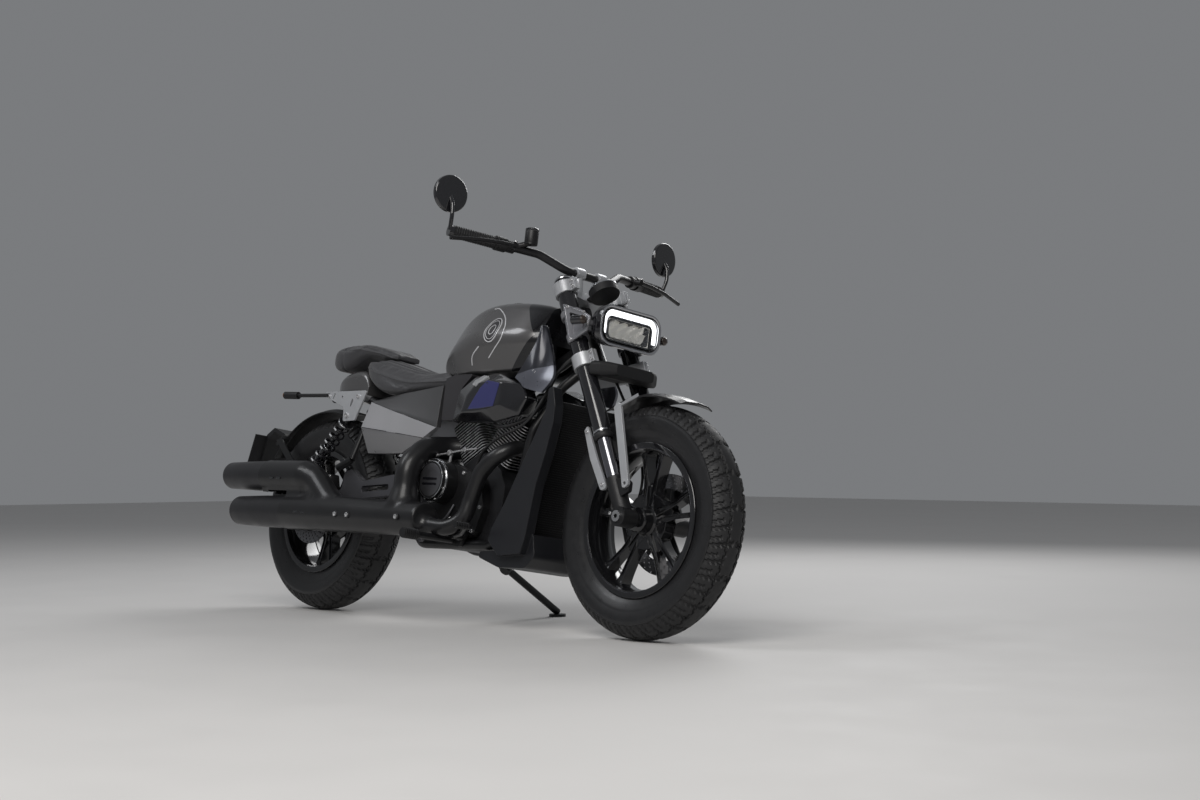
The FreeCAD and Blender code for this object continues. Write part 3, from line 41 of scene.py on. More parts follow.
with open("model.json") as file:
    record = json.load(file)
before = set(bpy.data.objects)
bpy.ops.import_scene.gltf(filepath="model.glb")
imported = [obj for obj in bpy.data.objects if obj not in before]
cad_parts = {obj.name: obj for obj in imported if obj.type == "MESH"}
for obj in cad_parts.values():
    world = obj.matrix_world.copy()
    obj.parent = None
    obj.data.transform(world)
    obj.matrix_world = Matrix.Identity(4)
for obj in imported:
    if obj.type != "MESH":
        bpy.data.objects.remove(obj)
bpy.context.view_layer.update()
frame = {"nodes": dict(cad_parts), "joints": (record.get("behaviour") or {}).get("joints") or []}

MM = 0.001
WHEELBASE, FRONT_RISE, REAR_RADIUS = 1.460, 0.008, 0.312


def joint(name):
    """The frame's joint of that name."""
    return next(j for j in frame["joints"] if j["name"] == name)


def basis(x, y, z, origin):
    """The matrix of three axes and an origin."""
    turn = Matrix((x, y, z)).transposed().to_4x4()
    turn.translation = origin
    return turn


def machine_frame():
    """Where the upright machine stands: x ahead of the rear axle, y to its left, z up from its tyres."""
    rear = Vector(joint("rear_wheel_spin")["pos_m"])
    front = Vector(joint("front_wheel_spin")["pos_m"])
    across = Vector(joint("rear_wheel_spin")["axis"]).normalized()
    run = (front - rear).normalized()
    up = run.cross(across)
    tilt = math.atan2(FRONT_RISE, WHEELBASE)
    ahead = run * math.cos(tilt) - up * math.sin(tilt)
    above = run * math.sin(tilt) + up * math.cos(tilt)
    return basis(ahead, across, above, rear - above * REAR_RADIUS)


def fork_frame():
    """The fork's own measure: x ahead of the legs, z up the leg from the front axle."""
    front = Vector(joint("front_wheel_spin")["pos_m"])
    up = Vector(joint("steering")["axis"]).normalized()
    across = Vector(joint("front_wheel_spin")["axis"]).normalized()
    return basis(across.cross(up), across, up, front)


MACHINE = machine_frame()
LEGS = fork_frame()
MACHINE_TURN, FROM_MACHINE = MACHINE.to_3x3(), MACHINE.inverted()
# places in the machine's measure, in millimetres
SIDES = (-1, 1)
FRONT_AXLE, REAR_AXLE = (1460, 0, 320), (0, 0, 312)
CLUTCH, GENERATOR, BARREL_FOOT = (692, 0, 406), (812, 0, 378), (812, 0, 398)
TANK_CAP = (830, 0, 0)
PEG, BRAKE_LEVER = (786, 0, 234), (944, 0, 268)
PIPE_Y = -212


# Meshes

def shaped(name, shapes, look, body="chassis", where=MACHINE, **more):
    """A new piece from (points, faces) shapes in millimetres, riding on a body."""
    verts, faces = join_shapes(shapes)
    data = bpy.data.meshes.new(name)
    data.from_pydata([where @ (Vector(v) * MM) for v in verts], [], faces)
    return add_piece(name, data, look, body, **more)


def add_piece(name, data, look, body="chassis", smooth=40.0, bevel=0.0, slot=None):
    data.validate()
    bm = bmesh.new()
    bm.from_mesh(data)
    bmesh.ops.recalc_face_normals(bm, faces=bm.faces)
    bm.to_mesh(data)
    bm.free()
    data.materials.clear()
    data.materials.append(FINISHES[look])
    piece = linked(name, data)
    if bevel:
        edge = piece.modifiers.new("Edge", "BEVEL")
        edge.width = bevel * MM
        edge.segments = 2
        edge.limit_method = "ANGLE"
        edge.angle_limit = math.radians(35)
    soften(data, smooth)
    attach(piece, body)
    return piece


def linked(name, data):
    """A new object of the scene."""
    thing = bpy.data.objects.new(name, data)
    bpy.context.scene.collection.objects.link(thing)
    return thing


def soften(data, angle):
    """Smooth shading with sharp edges above the angle."""
    data.shade_smooth()
    if angle < 180:
        data.set_sharp_from_angle(angle=math.radians(angle))


def join_shapes(shapes):
    """Several (points, faces) as one."""
    verts, faces = [], []
    for points, rings in shapes:
        start = len(verts)
        verts += points
        faces += [[start + i for i in ring] for ring in rings]
    return verts, faces


def lathe(profile, count=48, centre=(0, 0, 0), axis="y", closed=True):
    """Turns (radius, along) points about an axis through the centre."""
    verts, faces = [], []
    n = len(profile)
    for k in range(count):
        a = math.tau * k / count
        for r, t in profile:
            u, v = r * math.cos(a), r * math.sin(a)
            point = {"y": (u, t, v), "x": (t, u, v), "z": (u, v, t)}[axis]
            verts.append(tuple(p + c for p, c in zip(point, centre)))
    for k in range(count):
        j = (k + 1) % count
        for i in range(n if closed else n - 1):
            m = (i + 1) % n
            faces.append([k * n + i, j * n + i, j * n + m, k * n + m])
    return verts, faces


def turned(profile, count):
    """An open (radius, z) profile turned about the z axis."""
    return lathe(profile, count, axis="z", closed=False)


def prism(outline, y0, y1):
    """A flat outline of (x, z) points drawn out from y0 to y1."""
    n = len(outline)
    verts = [(x, y0, z) for x, z in outline] + [(x, y1, z) for x, z in outline]
    faces = [list(range(n)), list(range(2 * n - 1, n - 1, -1))]
    faces += [[i, (i + 1) % n, n + (i + 1) % n, n + i] for i in range(n)]
    return verts, faces


def block(x0, x1, y0, y1, z0, z1):
    """A box between two corners."""
    return prism([(x0, z0), (x1, z0), (x1, z1), (x0, z1)], y0, y1)


def moved(shape, matrix):
    """A shape taken through a matrix."""
    verts, faces = shape
    return [tuple(matrix @ Vector(v)) for v in verts], faces


def loft(rings, capped=True):
    """Skin through closed rings of points, all of one count."""
    n = len(rings[0])
    verts = [tuple(p) for ring in rings for p in ring]
    faces = []
    for k in range(len(rings) - 1):
        for i in range(n):
            j = (i + 1) % n
            faces.append([k * n + i, k * n + j, (k + 1) * n + j, (k + 1) * n + i])
    if capped:
        faces.append(list(range(n - 1, -1, -1)))
        faces.append([(len(rings) - 1) * n + i for i in range(n)])
    return verts, faces


def smooth_route(points, steps):
    """Catmull-Rom points through a route."""
    line = [Vector(p) for p in points]
    if steps < 2 or len(line) < 3:
        return line
    out = []
    for i in range(len(line) - 1):
        a, b, c, d = line[max(i - 1, 0)], line[i], line[i + 1], line[min(i + 2, len(line) - 1)]
        for k in range(steps):
            t = k / steps
            out.append(0.5 * (b * 2 + (c - a) * t + (a * 2 - b * 5 + c * 4 - d) * t ** 2
                              + (b * 3 - a - c * 3 + d) * t ** 3))
    return out + [line[-1]]


def tube(points, radius, count=12, steps=6):
    """A round bar through the points: radius is a number or a function of the share of the way."""
    line = smooth_route(points, steps)
    rings, side = [], None
    for i, p in enumerate(line):
        along = (line[min(i + 1, len(line) - 1)] - line[max(i - 1, 0)]).normalized()
        side = along.orthogonal() if side is None else side
        side = (side - along * side.dot(along)).normalized()
        other = along.cross(side)
        r = radius(i / (len(line) - 1)) if callable(radius) else radius
        rings.append([p + (side * math.cos(math.tau * k / count) + other * math.sin(math.tau * k / count)) * r
                      for k in range(count)])
    return loft(rings)


def ring_between(outer, inner, y0, y1):
    """A flat ring between two outlines of (x, z) points of one count, thick from y0 to y1."""
    n = len(outer)
    verts = [(x, y, z) for loop, y in ((outer, y0), (inner, y0), (inner, y1), (outer, y1)) for x, z in loop]
    faces = []
    for row in range(4):
        for i in range(n):
            j, low, high = (i + 1) % n, row * n, ((row + 1) % 4) * n
            faces.append([low + i, low + j, high + j, high + i])
    return verts, faces


def circle(radius, count, x=0.0, z=0.0, turn=0.0):
    """An (x, z) circle round a centre."""
    return [(x + radius * math.cos(turn + a), z + radius * math.sin(turn + a)) for a in turns(count)]


def turns(count, start=0.0):
    """Equal steps round a circle."""
    return [math.tau * (k + start) / count for k in range(count)]


def about_axle(shape, centre, turn):
    """Turns a shape about a wheel's axle, then sets it there."""
    return moved(shape, Matrix.Translation(centre) @ Matrix.Rotation(turn, 4, "Y"))


def rounded_rect(x, half, z0, z1, r, count=8):
    """A closed ring across the machine at x, with round corners."""
    ring = []
    for cy, cz, start in ((half - r, z1 - r, 0.0), (r - half, z1 - r, 0.25), (r - half, z0 + r, 0.5),
                          (half - r, z0 + r, 0.75)):
        for k in range(count + 1):
            a = math.tau * (start + 0.25 * k / count)
            ring.append((x, cy + r * math.cos(a), cz + r * math.sin(a)))
    return ring


def skin_of(node):
    """The node's own skin, to lay trim on."""
    data = node.data
    return BVHTree.FromPolygons([node.matrix_world @ v.co for v in data.vertices],
                                [list(face.vertices) for face in data.polygons])


def on_skin(skin, x, z, side, reach=400.0):
    """Where a line across the machine first meets the skin: (point, normal) in machine measure."""
    start = MACHINE @ (Vector((x, side * reach, z)) * MM)
    hit, normal, _, _ = skin.ray_cast(start, MACHINE_TURN @ Vector((0, -side, 0)))
    if hit is None:
        return None
    return (FROM_MACHINE @ hit) / MM, MACHINE_TURN.inverted() @ normal


def ribbon(skin, route, side, width, height=0.5, steps=8):
    """A raised line that lies on a skin along (x, z) points."""
    line = smooth_route([(x, 0, z) for x, z in route], steps)
    found = [on_skin(skin, p.x, p.z, side) for p in line]
    found = [f for f in found if f]
    rings = []
    for i, (p, normal) in enumerate(found):
        along = (found[min(i + 1, len(found) - 1)][0] - found[max(i - 1, 0)][0]).normalized()
        across = along.cross(normal).normalized()
        rings.append([p - across * width / 2 - normal * 0.6, p - across * (width / 2 - 0.3) + normal * height,
                      p + across * (width / 2 - 0.3) + normal * height, p + across * width / 2 - normal * 0.6])
    return loft(rings)


def baked(piece):
    """The mesh of a piece with its modifiers applied."""
    graph = bpy.context.evaluated_depsgraph_get()
    graph.update()
    return bpy.data.meshes.new_from_object(piece.evaluated_get(graph))


def copied(nodes):
    """The solids of some nodes as one loose mesh in the row frame."""
    bm = bmesh.new()
    for node in nodes:
        data = node.data.copy()
        data.transform(node.matrix_world)
        bm.from_mesh(data)
        bpy.data.meshes.remove(data)
    data = bpy.data.meshes.new("copy")
    bm.to_mesh(data)
    bm.free()
    return data


def remeshed(data, voxel, steps=()):
    """Voxel skin of a mesh, then (kind, amount) steps: melt by passes or grow by millimetres."""
    rough = linked("rough", data)
    for kind, amount in (("skin", voxel), *steps):
        if kind == "skin":
            skin = rough.modifiers.new("Skin", "REMESH")
            skin.mode = "VOXEL"
            skin.voxel_size = amount * MM
        elif kind == "melt":
            melt = rough.modifiers.new("Melt", "SMOOTH")
            melt.factor = 0.5
            melt.iterations = amount
        else:
            grow = rough.modifiers.new("Grow", "DISPLACE")
            grow.mid_level = 0.0
            grow.strength = amount * MM
    out = baked(rough)
    bpy.data.objects.remove(rough)
    return out


BOLT_SIDES = 18


def socket_bolt(radius, height):
    """A cap screw's head along +z, with a round socket."""
    rings = [(radius, 0), (radius, height * 0.85), (radius * 0.86, height), (radius * 0.55, height),
             (radius * 0.5, height * 0.4)]
    verts, faces = loft([[(x, y, z) for x, y in circle(r, BOLT_SIDES)] for r, z in rings], False)
    last = (len(rings) - 1) * BOLT_SIDES
    return verts, faces + [list(range(last, last + BOLT_SIDES))]


def facing(axis):
    """The turn that lays +z along an axis."""
    return Vector((0, 0, 1)).rotation_difference(Vector(axis)).to_matrix().to_4x4()


def placed(shape, spot, axis):
    """A shape made along z, stood on a spot along an axis."""
    return moved(shape, Matrix.Translation(spot) @ facing(axis))


def bolts(name, places, body="chassis", where=MACHINE):
    """Cap screws at (x, y, z, axis, radius, height)."""
    shapes = [placed(socket_bolt(radius, height), (x, y, z), axis) for x, y, z, axis, radius, height in places]
    shaped(name, shapes, "bolt_steel", body, where, smooth=35)


def screws(y, axis, radius, height, spots):
    """Equal cap screws at (x, z) spots of one face across the machine."""
    return [(x, y, z, axis, radius, height) for x, z in spots]


def strip(outer, inner, x0, x1):
    """A flat band between two open rows of (y, z) points, across the machine, thick from x0 to x1."""
    n = len(outer)
    verts = [(x, y, z) for row, x in ((outer, x0), (inner, x0), (inner, x1), (outer, x1)) for y, z in row]
    faces = []
    for row in range(4):
        for i in range(n - 1):
            low, high = row * n, ((row + 1) % 4) * n
            faces.append([low + i, low + i + 1, high + i + 1, high + i])
    faces += [[0, n, 2 * n, 3 * n], [4 * n - 1, 3 * n - 1, 2 * n - 1, n - 1]]
    return verts, faces


def oval(x0, z0, x1, z1, half, count=8):
    """A long round-ended outline from one (x, z) point to another."""
    a, b = Vector((x0, z0)), Vector((x1, z1))
    along = (b - a).normalized()
    across = Vector((-along.y, along.x))
    ring = []
    for centre, way in ((b, 1), (a, -1)):
        for k in range(count + 1):
            t = math.pi * (k / count - 0.5)
            ring.append(centre + (along * math.cos(t) + across * math.sin(t)) * half * way)
    return [(v.x, v.y) for v in ring]


def middle_of(outline):
    """The mean of an (x, z) outline's points."""
    return sum(x for x, _ in outline) / len(outline), sum(z for _, z in outline) / len(outline)


def shrunk(outline, share, middle=None):
    """An (x, z) outline drawn in to its middle."""
    cx, cz = middle or middle_of(outline)
    return [(cx + (x - cx) * share, cz + (z - cz) * share) for x, z in outline]


def decal(skin, outline, side, low, high):
    """A thin plate over an (x, z) outline, following a skin: its edge low and its face high above it."""
    rings = []
    for share, lift in ((1.0, -0.8), (1.0, low), (0.96, high), (0.5, high)):
        found = [on_skin(skin, x, z, side) for x, z in shrunk(outline, share)]
        rings.append([point + normal * lift for point, normal in found])
    return loft(rings)


def ring_on_line(a, b, t, radius, inner, width):
    """A round collar on the line from a to b, at a share t of the way."""
    axis = (Vector(b) - Vector(a)).normalized()
    w = width / 2
    half = [(radius, w - 0.6), (radius - 0.5, w), (inner, w)]
    shape = lathe([(r, -t) for r, t in reversed(half)] + half, 32, axis="z")
    return placed(shape, Vector(a).lerp(Vector(b), t), axis)


# Finishes

class Finish:
    """Builds one procedural material out of linked nodes."""

    def __init__(self, name):
        self.material = bpy.data.materials.new(name)
        self.material.use_nodes = True
        self.nodes = self.material.node_tree.nodes
        self.links = self.material.node_tree.links
        self.shader = next(n for n in self.nodes if n.type == "BSDF_PRINCIPLED")
        self.place = self.nodes.new("ShaderNodeTexCoord").outputs["Object"]

    def put(self, socket, value):
        """Feeds an input with a value or with another node's output."""
        if hasattr(value, "is_output"):
            self.links.new(value, socket)
        else:
            socket.default_value = value

    def node(self, kind, *values, operation=None, **inputs):
        """A new node, its inputs fed by place or by name."""
        made = self.nodes.new("ShaderNode" + kind)
        if operation:
            made.operation = operation
        for socket, value in zip(made.inputs, values):
            self.put(socket, value)
        self.feed(made, inputs)
        return made

    def feed(self, node, inputs):
        for key, value in inputs.items():
            self.put(node.inputs[key.replace("_", " ")], value)

    def set(self, **inputs):
        self.feed(self.shader, inputs)

    def noise(self, scale, detail=3.0, rough=0.5, stretch=None):
        place = self.place
        if stretch:
            place = self.node("Mapping", Vector=place, Scale=stretch).outputs["Vector"]
        return self.node("TexNoise", Vector=place, Scale=scale, Detail=detail, Roughness=rough).outputs["Fac"]

    def cells(self, scale, feature="F1"):
        made = self.node("TexVoronoi", Vector=self.place, Scale=scale)
        made.feature = feature
        return made.outputs["Distance"]

    def span(self, value, low, high, start=0.0, end=1.0):
        return self.node("MapRange", Value=value, From_Min=start, From_Max=end, To_Min=low,
                         To_Max=high).outputs["Result"]

    def blend(self, factor, first, second):
        made = self.nodes.new("ShaderNodeMix")
        made.data_type = "RGBA"
        for i, value in ((0, factor), (6, first), (7, second)):
            self.put(made.inputs[i], value if hasattr(value, "is_output") else (*value, 1))
        return made.outputs[2]

    def beyond(self, planes):
        """1 beyond any of the planes, each a point in machine measure and the way out of it."""
        total = None
        for point, way in planes:
            normal = MACHINE_TURN @ Vector(way).normalized()
            at = normal.dot(MACHINE @ (Vector(point) * MM))
            along = self.node("VectorMath", self.place, normal, operation="DOT_PRODUCT").outputs["Value"]
            mask = self.span(along, 0.0, 1.0, at - 0.0002, at + 0.0002)
            total = mask if total is None else self.node("Math", total, mask, operation="MAXIMUM").outputs[0]
        return total

    def shade(self, color, spread, scale=9.0):
        """Base colour that drifts between a darker and a lighter tone."""
        dark, light = ([c * share for c in color] for share in (1 - spread, 1 + spread))
        self.set(Base_Color=self.blend(self.noise(scale, 4.0), dark, light))

    def color(self, tone, share):
        """Base colour: a tone, dimmed by a share."""
        self.set(Base_Color=self.node("VectorMath", tone, operation="SCALE", Scale=share).outputs["Vector"])

    def gloss(self, low, high, scale=14.0, stretch=None):
        self.set(Roughness=self.span(self.noise(scale, 5.0, 0.6, stretch), low, high, 0.3, 0.7))

    def relief(self, height, strength, distance, radius=0.0):
        """Bump over rounded edges."""
        bump = self.node("Bump", Strength=strength, Distance=distance, Height=height)
        if radius:
            edge = self.node("Bevel", Radius=radius)
            edge.samples = 4
            self.put(bump.inputs["Normal"], edge.outputs["Normal"])
        self.set(Normal=bump.outputs["Normal"])


def paint(name, color, low, high, metallic=0.0, coat=0.0, grain=260.0, bump=0.05, edge=0.0009):
    """Satin or gloss paint over a faint grain."""
    f = Finish(name)
    f.set(Metallic=metallic, Coat_Weight=coat, Coat_Roughness=0.08, Specular_IOR_Level=0.35)
    f.shade(color, 0.12)
    f.gloss(low, high)
    f.relief(f.noise(grain, 2.0), bump, 0.0004, edge)
    return f.material


def worn_metal(name, color, low, high, stretch=(1, 1, 1), grain=140.0, bump=0.08, edge=0.0008):
    """Bare metal, its grain stretched along the piece where asked."""
    f = Finish(name)
    f.set(Metallic=1.0)
    f.shade(color, 0.10, 22.0)
    f.gloss(low, high, 30.0, stretch)
    f.relief(f.noise(grain, 3.0, 0.6, stretch), bump, 0.0003, edge)
    return f.material


def cast_metal(name, color, low=0.38, high=0.55, metallic=0.8, edge=0.0012, bump=0.25):
    """Sand-cast metal with a fine pebbled skin."""
    f = Finish(name)
    f.set(Metallic=metallic)
    f.shade(color, 0.14, 16.0)
    f.gloss(low, high, 40.0)
    f.relief(f.cells(900.0), bump, 0.0004, edge)
    return f.material


def zoned_paint(name, zones, low=0.24, high=0.36, metallic=0.6):
    """Metallic paint in several tones: a first colour, then (colour, planes) painted over it; on the side covers these
    are painted shade.
    """
    f = Finish(name)
    f.set(Metallic=metallic, Coat_Weight=0.7, Coat_Roughness=0.1)
    tone = f.blend(f.noise(5.0, 2.0), [c * 0.85 for c in zones[0]], [c * 1.12 for c in zones[0]])
    for color, planes in zones[1:]:
        tone = f.blend(f.beyond(planes), tone, color)
    f.color(tone, f.span(f.cells(2600.0), 0.92, 1.06, 0.0, 0.6))
    f.gloss(low, high, 7.0)
    f.relief(f.noise(55.0, 1.0), 0.02, 0.0005, 0.0014)
    return f.material


def rubber(name, color, low=0.45, high=0.62, grain=420.0, bump=0.25):
    """Dull rubber with a fine grain."""
    f = Finish(name)
    f.set(Specular_IOR_Level=0.45)
    f.shade(color, 0.2, 26.0)
    f.gloss(low, high, 60.0)
    f.relief(f.noise(grain, 4.0, 0.65), bump, 0.0005, 0.0006)
    return f.material


def hide(name, color, low=0.42, high=0.58):
    """Leather cover: fine grain with darker creases."""
    f = Finish(name)
    f.set(Sheen_Weight=0.15, Sheen_Roughness=0.5)
    grain = f.cells(520.0, "DISTANCE_TO_EDGE")
    crease = f.span(grain, 0.55, 1.0, 0.0, 0.08)
    tone = f.blend(f.noise(12.0, 3.0), [c * 0.82 for c in color], [c * 1.15 for c in color])
    f.color(tone, crease)
    f.gloss(low, high, 35.0)
    f.relief(f.span(grain, 0.0, 1.0, 0.0, 0.12), 0.22, 0.0006)
    return f.material


def clear_plastic(name, color=(0.9, 0.92, 0.95)):
    """Clear cover of the headlamp."""
    f = Finish(name)
    f.set(Transmission_Weight=1.0, IOR=1.45)
    f.shade(color, 0.03, 40.0)
    f.gloss(0.02, 0.06, 60.0)
    return f.material


def glowing(name, color, strength, metallic=0.0):
    """A surface that gives off light."""
    f = Finish(name)
    f.set(Emission_Color=(*color, 1), Emission_Strength=strength, Metallic=metallic)
    f.shade(color, 0.04, 30.0)
    f.gloss(0.2, 0.35)
    return f.material


def ribbed_lens(name, color):
    """Ribbed coloured lens."""
    f = Finish(name)
    f.set(Coat_Weight=0.8, Coat_Roughness=0.05)
    f.shade(color, 0.15, 60.0)
    f.gloss(0.08, 0.16)
    f.relief(f.node("TexWave", Vector=f.place, Scale=90.0).outputs["Fac"], 0.3, 0.0006)
    return f.material


def mirror_glass(name):
    """Silvered glass."""
    f = Finish(name)
    f.set(Metallic=1.0)
    f.shade((0.82, 0.84, 0.86), 0.02, 8.0)
    f.gloss(0.02, 0.05)
    return f.material


FINISHES = {}  # filled by make_finishes
BLACK = (0.010, 0.010, 0.012)
# where the tones meet: a point in machine measure and the way beyond it; on the side covers the top and foot tones are
# painted shade
TANK_FRONT = (((1021, 0, 837), (0.793, 0, 0.61)), ((1021, 0, 837), (0.784, 0, -0.621)))
WING_TOP = (((999, 0, 712), (-0.234, 0, 0.972)),)
COVER_TOP = (((320, 0, 650), (0.238, 0, 0.971)),)
COVER_FOOT = (((277, 0, 571), (-0.11, 0, -0.994)),)


def make_finishes(colors):
    """Every finish of the machine, by its key."""
    gunmetal, silver = tuple(colors.paint), tuple(colors.panel)
    # darker copies of the silver: painted shade on the side covers' top facet and foot facet, the middle strip left
    # lit
    painted_shade_top, foot = (tuple(c * share for c in silver) for share in (0.14, 0.42))
    FINISHES.update({
        "frame_black": paint("Satin black frame", (0.009, 0.009, 0.01), 0.28, 0.42),
        "engine_black": cast_metal("Black cast crankcase", (0.014, 0.014, 0.016), metallic=0.3),
        "fin_metal": cast_metal("Machined fin edge", (0.62, 0.62, 0.64), 0.22, 0.34, 0.6, bump=0.05),
        "fin_black": cast_metal("Black barrels", (0.01, 0.01, 0.011), metallic=0.3),
        "cover_grey": cast_metal("Dark grey cover", (0.13, 0.13, 0.14), 0.28, 0.4),
        "exhaust_black": paint("Heat-proof black", (0.009, 0.009, 0.01), 0.3, 0.44, coat=0.15),
        "exhaust_tip": paint("Tip grey", (0.034, 0.034, 0.037), 0.34, 0.48, metallic=0.5),
        "tank_paint": zoned_paint("Gunmetal paint", (gunmetal, (BLACK, TANK_FRONT))),
        "cowl_paint": zoned_paint("Gunmetal cowl", (gunmetal,)),
        "gloss_black": paint("Gloss black", (0.01, 0.01, 0.012), 0.08, 0.16, coat=1.0, bump=0.01),
        "panel_blue": zoned_paint("Blue-grey panel", ((0.115, 0.12, 0.145), ((0.018, 0.019, 0.026), WING_TOP))),
        # side covers: silver, with painted shade on the top and foot facets where less light falls
        "panel_silver": zoned_paint("Silver panel with painted shade", (silver, (painted_shade_top, COVER_TOP), (foot, COVER_FOOT)), 0.3, 0.4, 0.45),
        "pod_gloss": paint("Gloss air box", (0.008, 0.008, 0.01), 0.1, 0.18, coat=1.0, bump=0.01),
        # the pods' front facets: indigo as a painted reflection of the sky on the black gloss
        "pod_sky_reflection": paint("Indigo painted sky reflection", (0.028, 0.03, 0.115), 0.1, 0.16, coat=0.6, bump=0.01),
        "trim_grey": paint("Dark grey trim", (0.03, 0.029, 0.032), 0.35, 0.5),
        "fender_black": paint("Satin fender", (0.01, 0.01, 0.011), 0.3, 0.42, coat=0.2),
        "lens_smoked": paint("Smoked lens", (0.026, 0.015, 0.009), 0.06, 0.12, coat=1.0, bump=0.0),
        # painted shade: the discs' steel darkened well below bare steel so that the discs look shaded
        "disc_steel_shaded": worn_metal("Brake disc steel with painted shade", (0.2, 0.2, 0.21), 0.24, 0.38),
        # painted highlight: a lighter metal for the strips along the wheels' edges
        "wheel_edge_highlight": worn_metal("Wheel edge painted highlight", (0.1, 0.1, 0.11), 0.14, 0.24),
        "radiator_black": paint("Radiator black", (0.012, 0.012, 0.013), 0.4, 0.6, metallic=0.3),
        "shroud_paint": paint("Slate shroud", (0.013, 0.0135, 0.016), 0.3, 0.42, edge=0.004),
        "seat_cover": hide("Cushion hide", tuple(colors.seat)),
        "cast_silver": cast_metal("Satin silver casting", (0.5, 0.51, 0.53), 0.3, 0.42, 0.55, bump=0.12),
        "arm_grey": cast_metal("Grey swingarm casting", (0.11, 0.11, 0.12), 0.4, 0.52, 0.7),
        "bright_steel": worn_metal("Ground steel", (0.55, 0.55, 0.56), 0.2, 0.34),
        "chain_steel": worn_metal("Oiled chain steel", (0.26, 0.25, 0.235), 0.28, 0.45),
        "trim_black": paint("Grained black plastic", (0.01, 0.01, 0.011), 0.45, 0.6, grain=700.0, bump=0.2),
        "lamp_red": ribbed_lens("Red lens", (0.35, 0.012, 0.012)),
        "cast_black": cast_metal("Black casting", (0.012, 0.012, 0.013), 0.34, 0.48, 0.3),
        "polished_steel": worn_metal("Polished stanchion", (0.24, 0.24, 0.26), 0.08, 0.16, (1, 1, 6), bump=0.02),
        "grip_rubber": rubber("Grip rubber", (0.009, 0.009, 0.01)),
        "lamp_glass": clear_plastic("Headlamp glass"),
        "tyre_rubber": rubber("Tyre tread", (0.014, 0.014, 0.015), 0.5, 0.66),
        "tyre_side": rubber("Tyre side wall", (0.013, 0.013, 0.014), 0.26, 0.38, 300.0, 0.06),
        "wheel_black": paint("Gloss black wheel", (0.007, 0.007, 0.008), 0.12, 0.22, coat=0.7, bump=0.02,
                             edge=0.0016),
        "machined": worn_metal("Machined edge", (0.6, 0.61, 0.63), 0.14, 0.26),
        "bolt_steel": cast_metal("Bolt steel", (0.5, 0.5, 0.51), 0.2, 0.32, 0.7, 0.0006, 0.05),
        "pinstripe": cast_metal("Silver line", (0.68, 0.68, 0.7), 0.25, 0.35, 0.3, 0.0003, 0.01),
        "led": glowing("White light bar", (1.0, 1.0, 1.0), 2.2),
        "ear_grey": cast_metal("Grey bracket", (0.26, 0.26, 0.28), 0.32, 0.44, 0.55, bump=0.12),
        "bezel": worn_metal("Lamp rim", (0.55, 0.55, 0.57), 0.16, 0.26),
        # the reflector's faint warm glow is a painted reflection of the surroundings
        "reflector": glowing("Reflector painted glow", (0.8, 0.76, 0.68), 0.16, 1.0),
        "mirror": mirror_glass("Mirror glass"),
        "glass_black": paint("Dark instrument glass", (0.006, 0.006, 0.008), 0.04, 0.08, coat=1.0, bump=0.0),
        "amber": ribbed_lens("Amber lens", (0.55, 0.2, 0.02)),
    })


# Settings

class CruiserColors(bpy.types.PropertyGroup):
    """Colours of the painted and covered pieces."""
    paint: FloatVectorProperty(name="Tank paint", description="Gunmetal of the fuel tank and tail cowl",
                               default=(0.118, 0.115, 0.116), size=3, min=0, max=1, subtype="COLOR")
    panel: FloatVectorProperty(name="Side covers", description="Silver grey of the side covers",
                               default=(0.46, 0.46, 0.48), size=3, min=0, max=1, subtype="COLOR")
    seat: FloatVectorProperty(name="Cushions", description="Dark grey of the seat and the pillion pad",
                              default=(0.034, 0.034, 0.038), size=3, min=0, max=1, subtype="COLOR")


class CruiserTyres(bpy.types.PropertyGroup):
    """Sizes of the tyres' tread."""
    pitches: IntProperty(name="Tread pitches", description="Blocks round each tyre", default=42, min=20, max=80)
    groove: FloatProperty(name="Groove depth", description="Depth of the tread's grooves", default=0.0065, min=0,
                          max=0.012, unit="LENGTH")


class CruiserStage(bpy.types.PropertyGroup):
    """The studio round the machine."""
    floor: FloatVectorProperty(name="Floor", description="Pale floor colour", default=(0.62, 0.61, 0.60), size=3,
                               min=0, max=1, subtype="COLOR")
    key: FloatProperty(name="Key lamp", description="Power of the large soft lamp", default=135.0, min=0,
                       unit="POWER")
    lens: FloatProperty(name="Lens", description="Focal length of the photograph's view, in millimetres",
                        default=57.32, min=20, max=200)


# Pieces

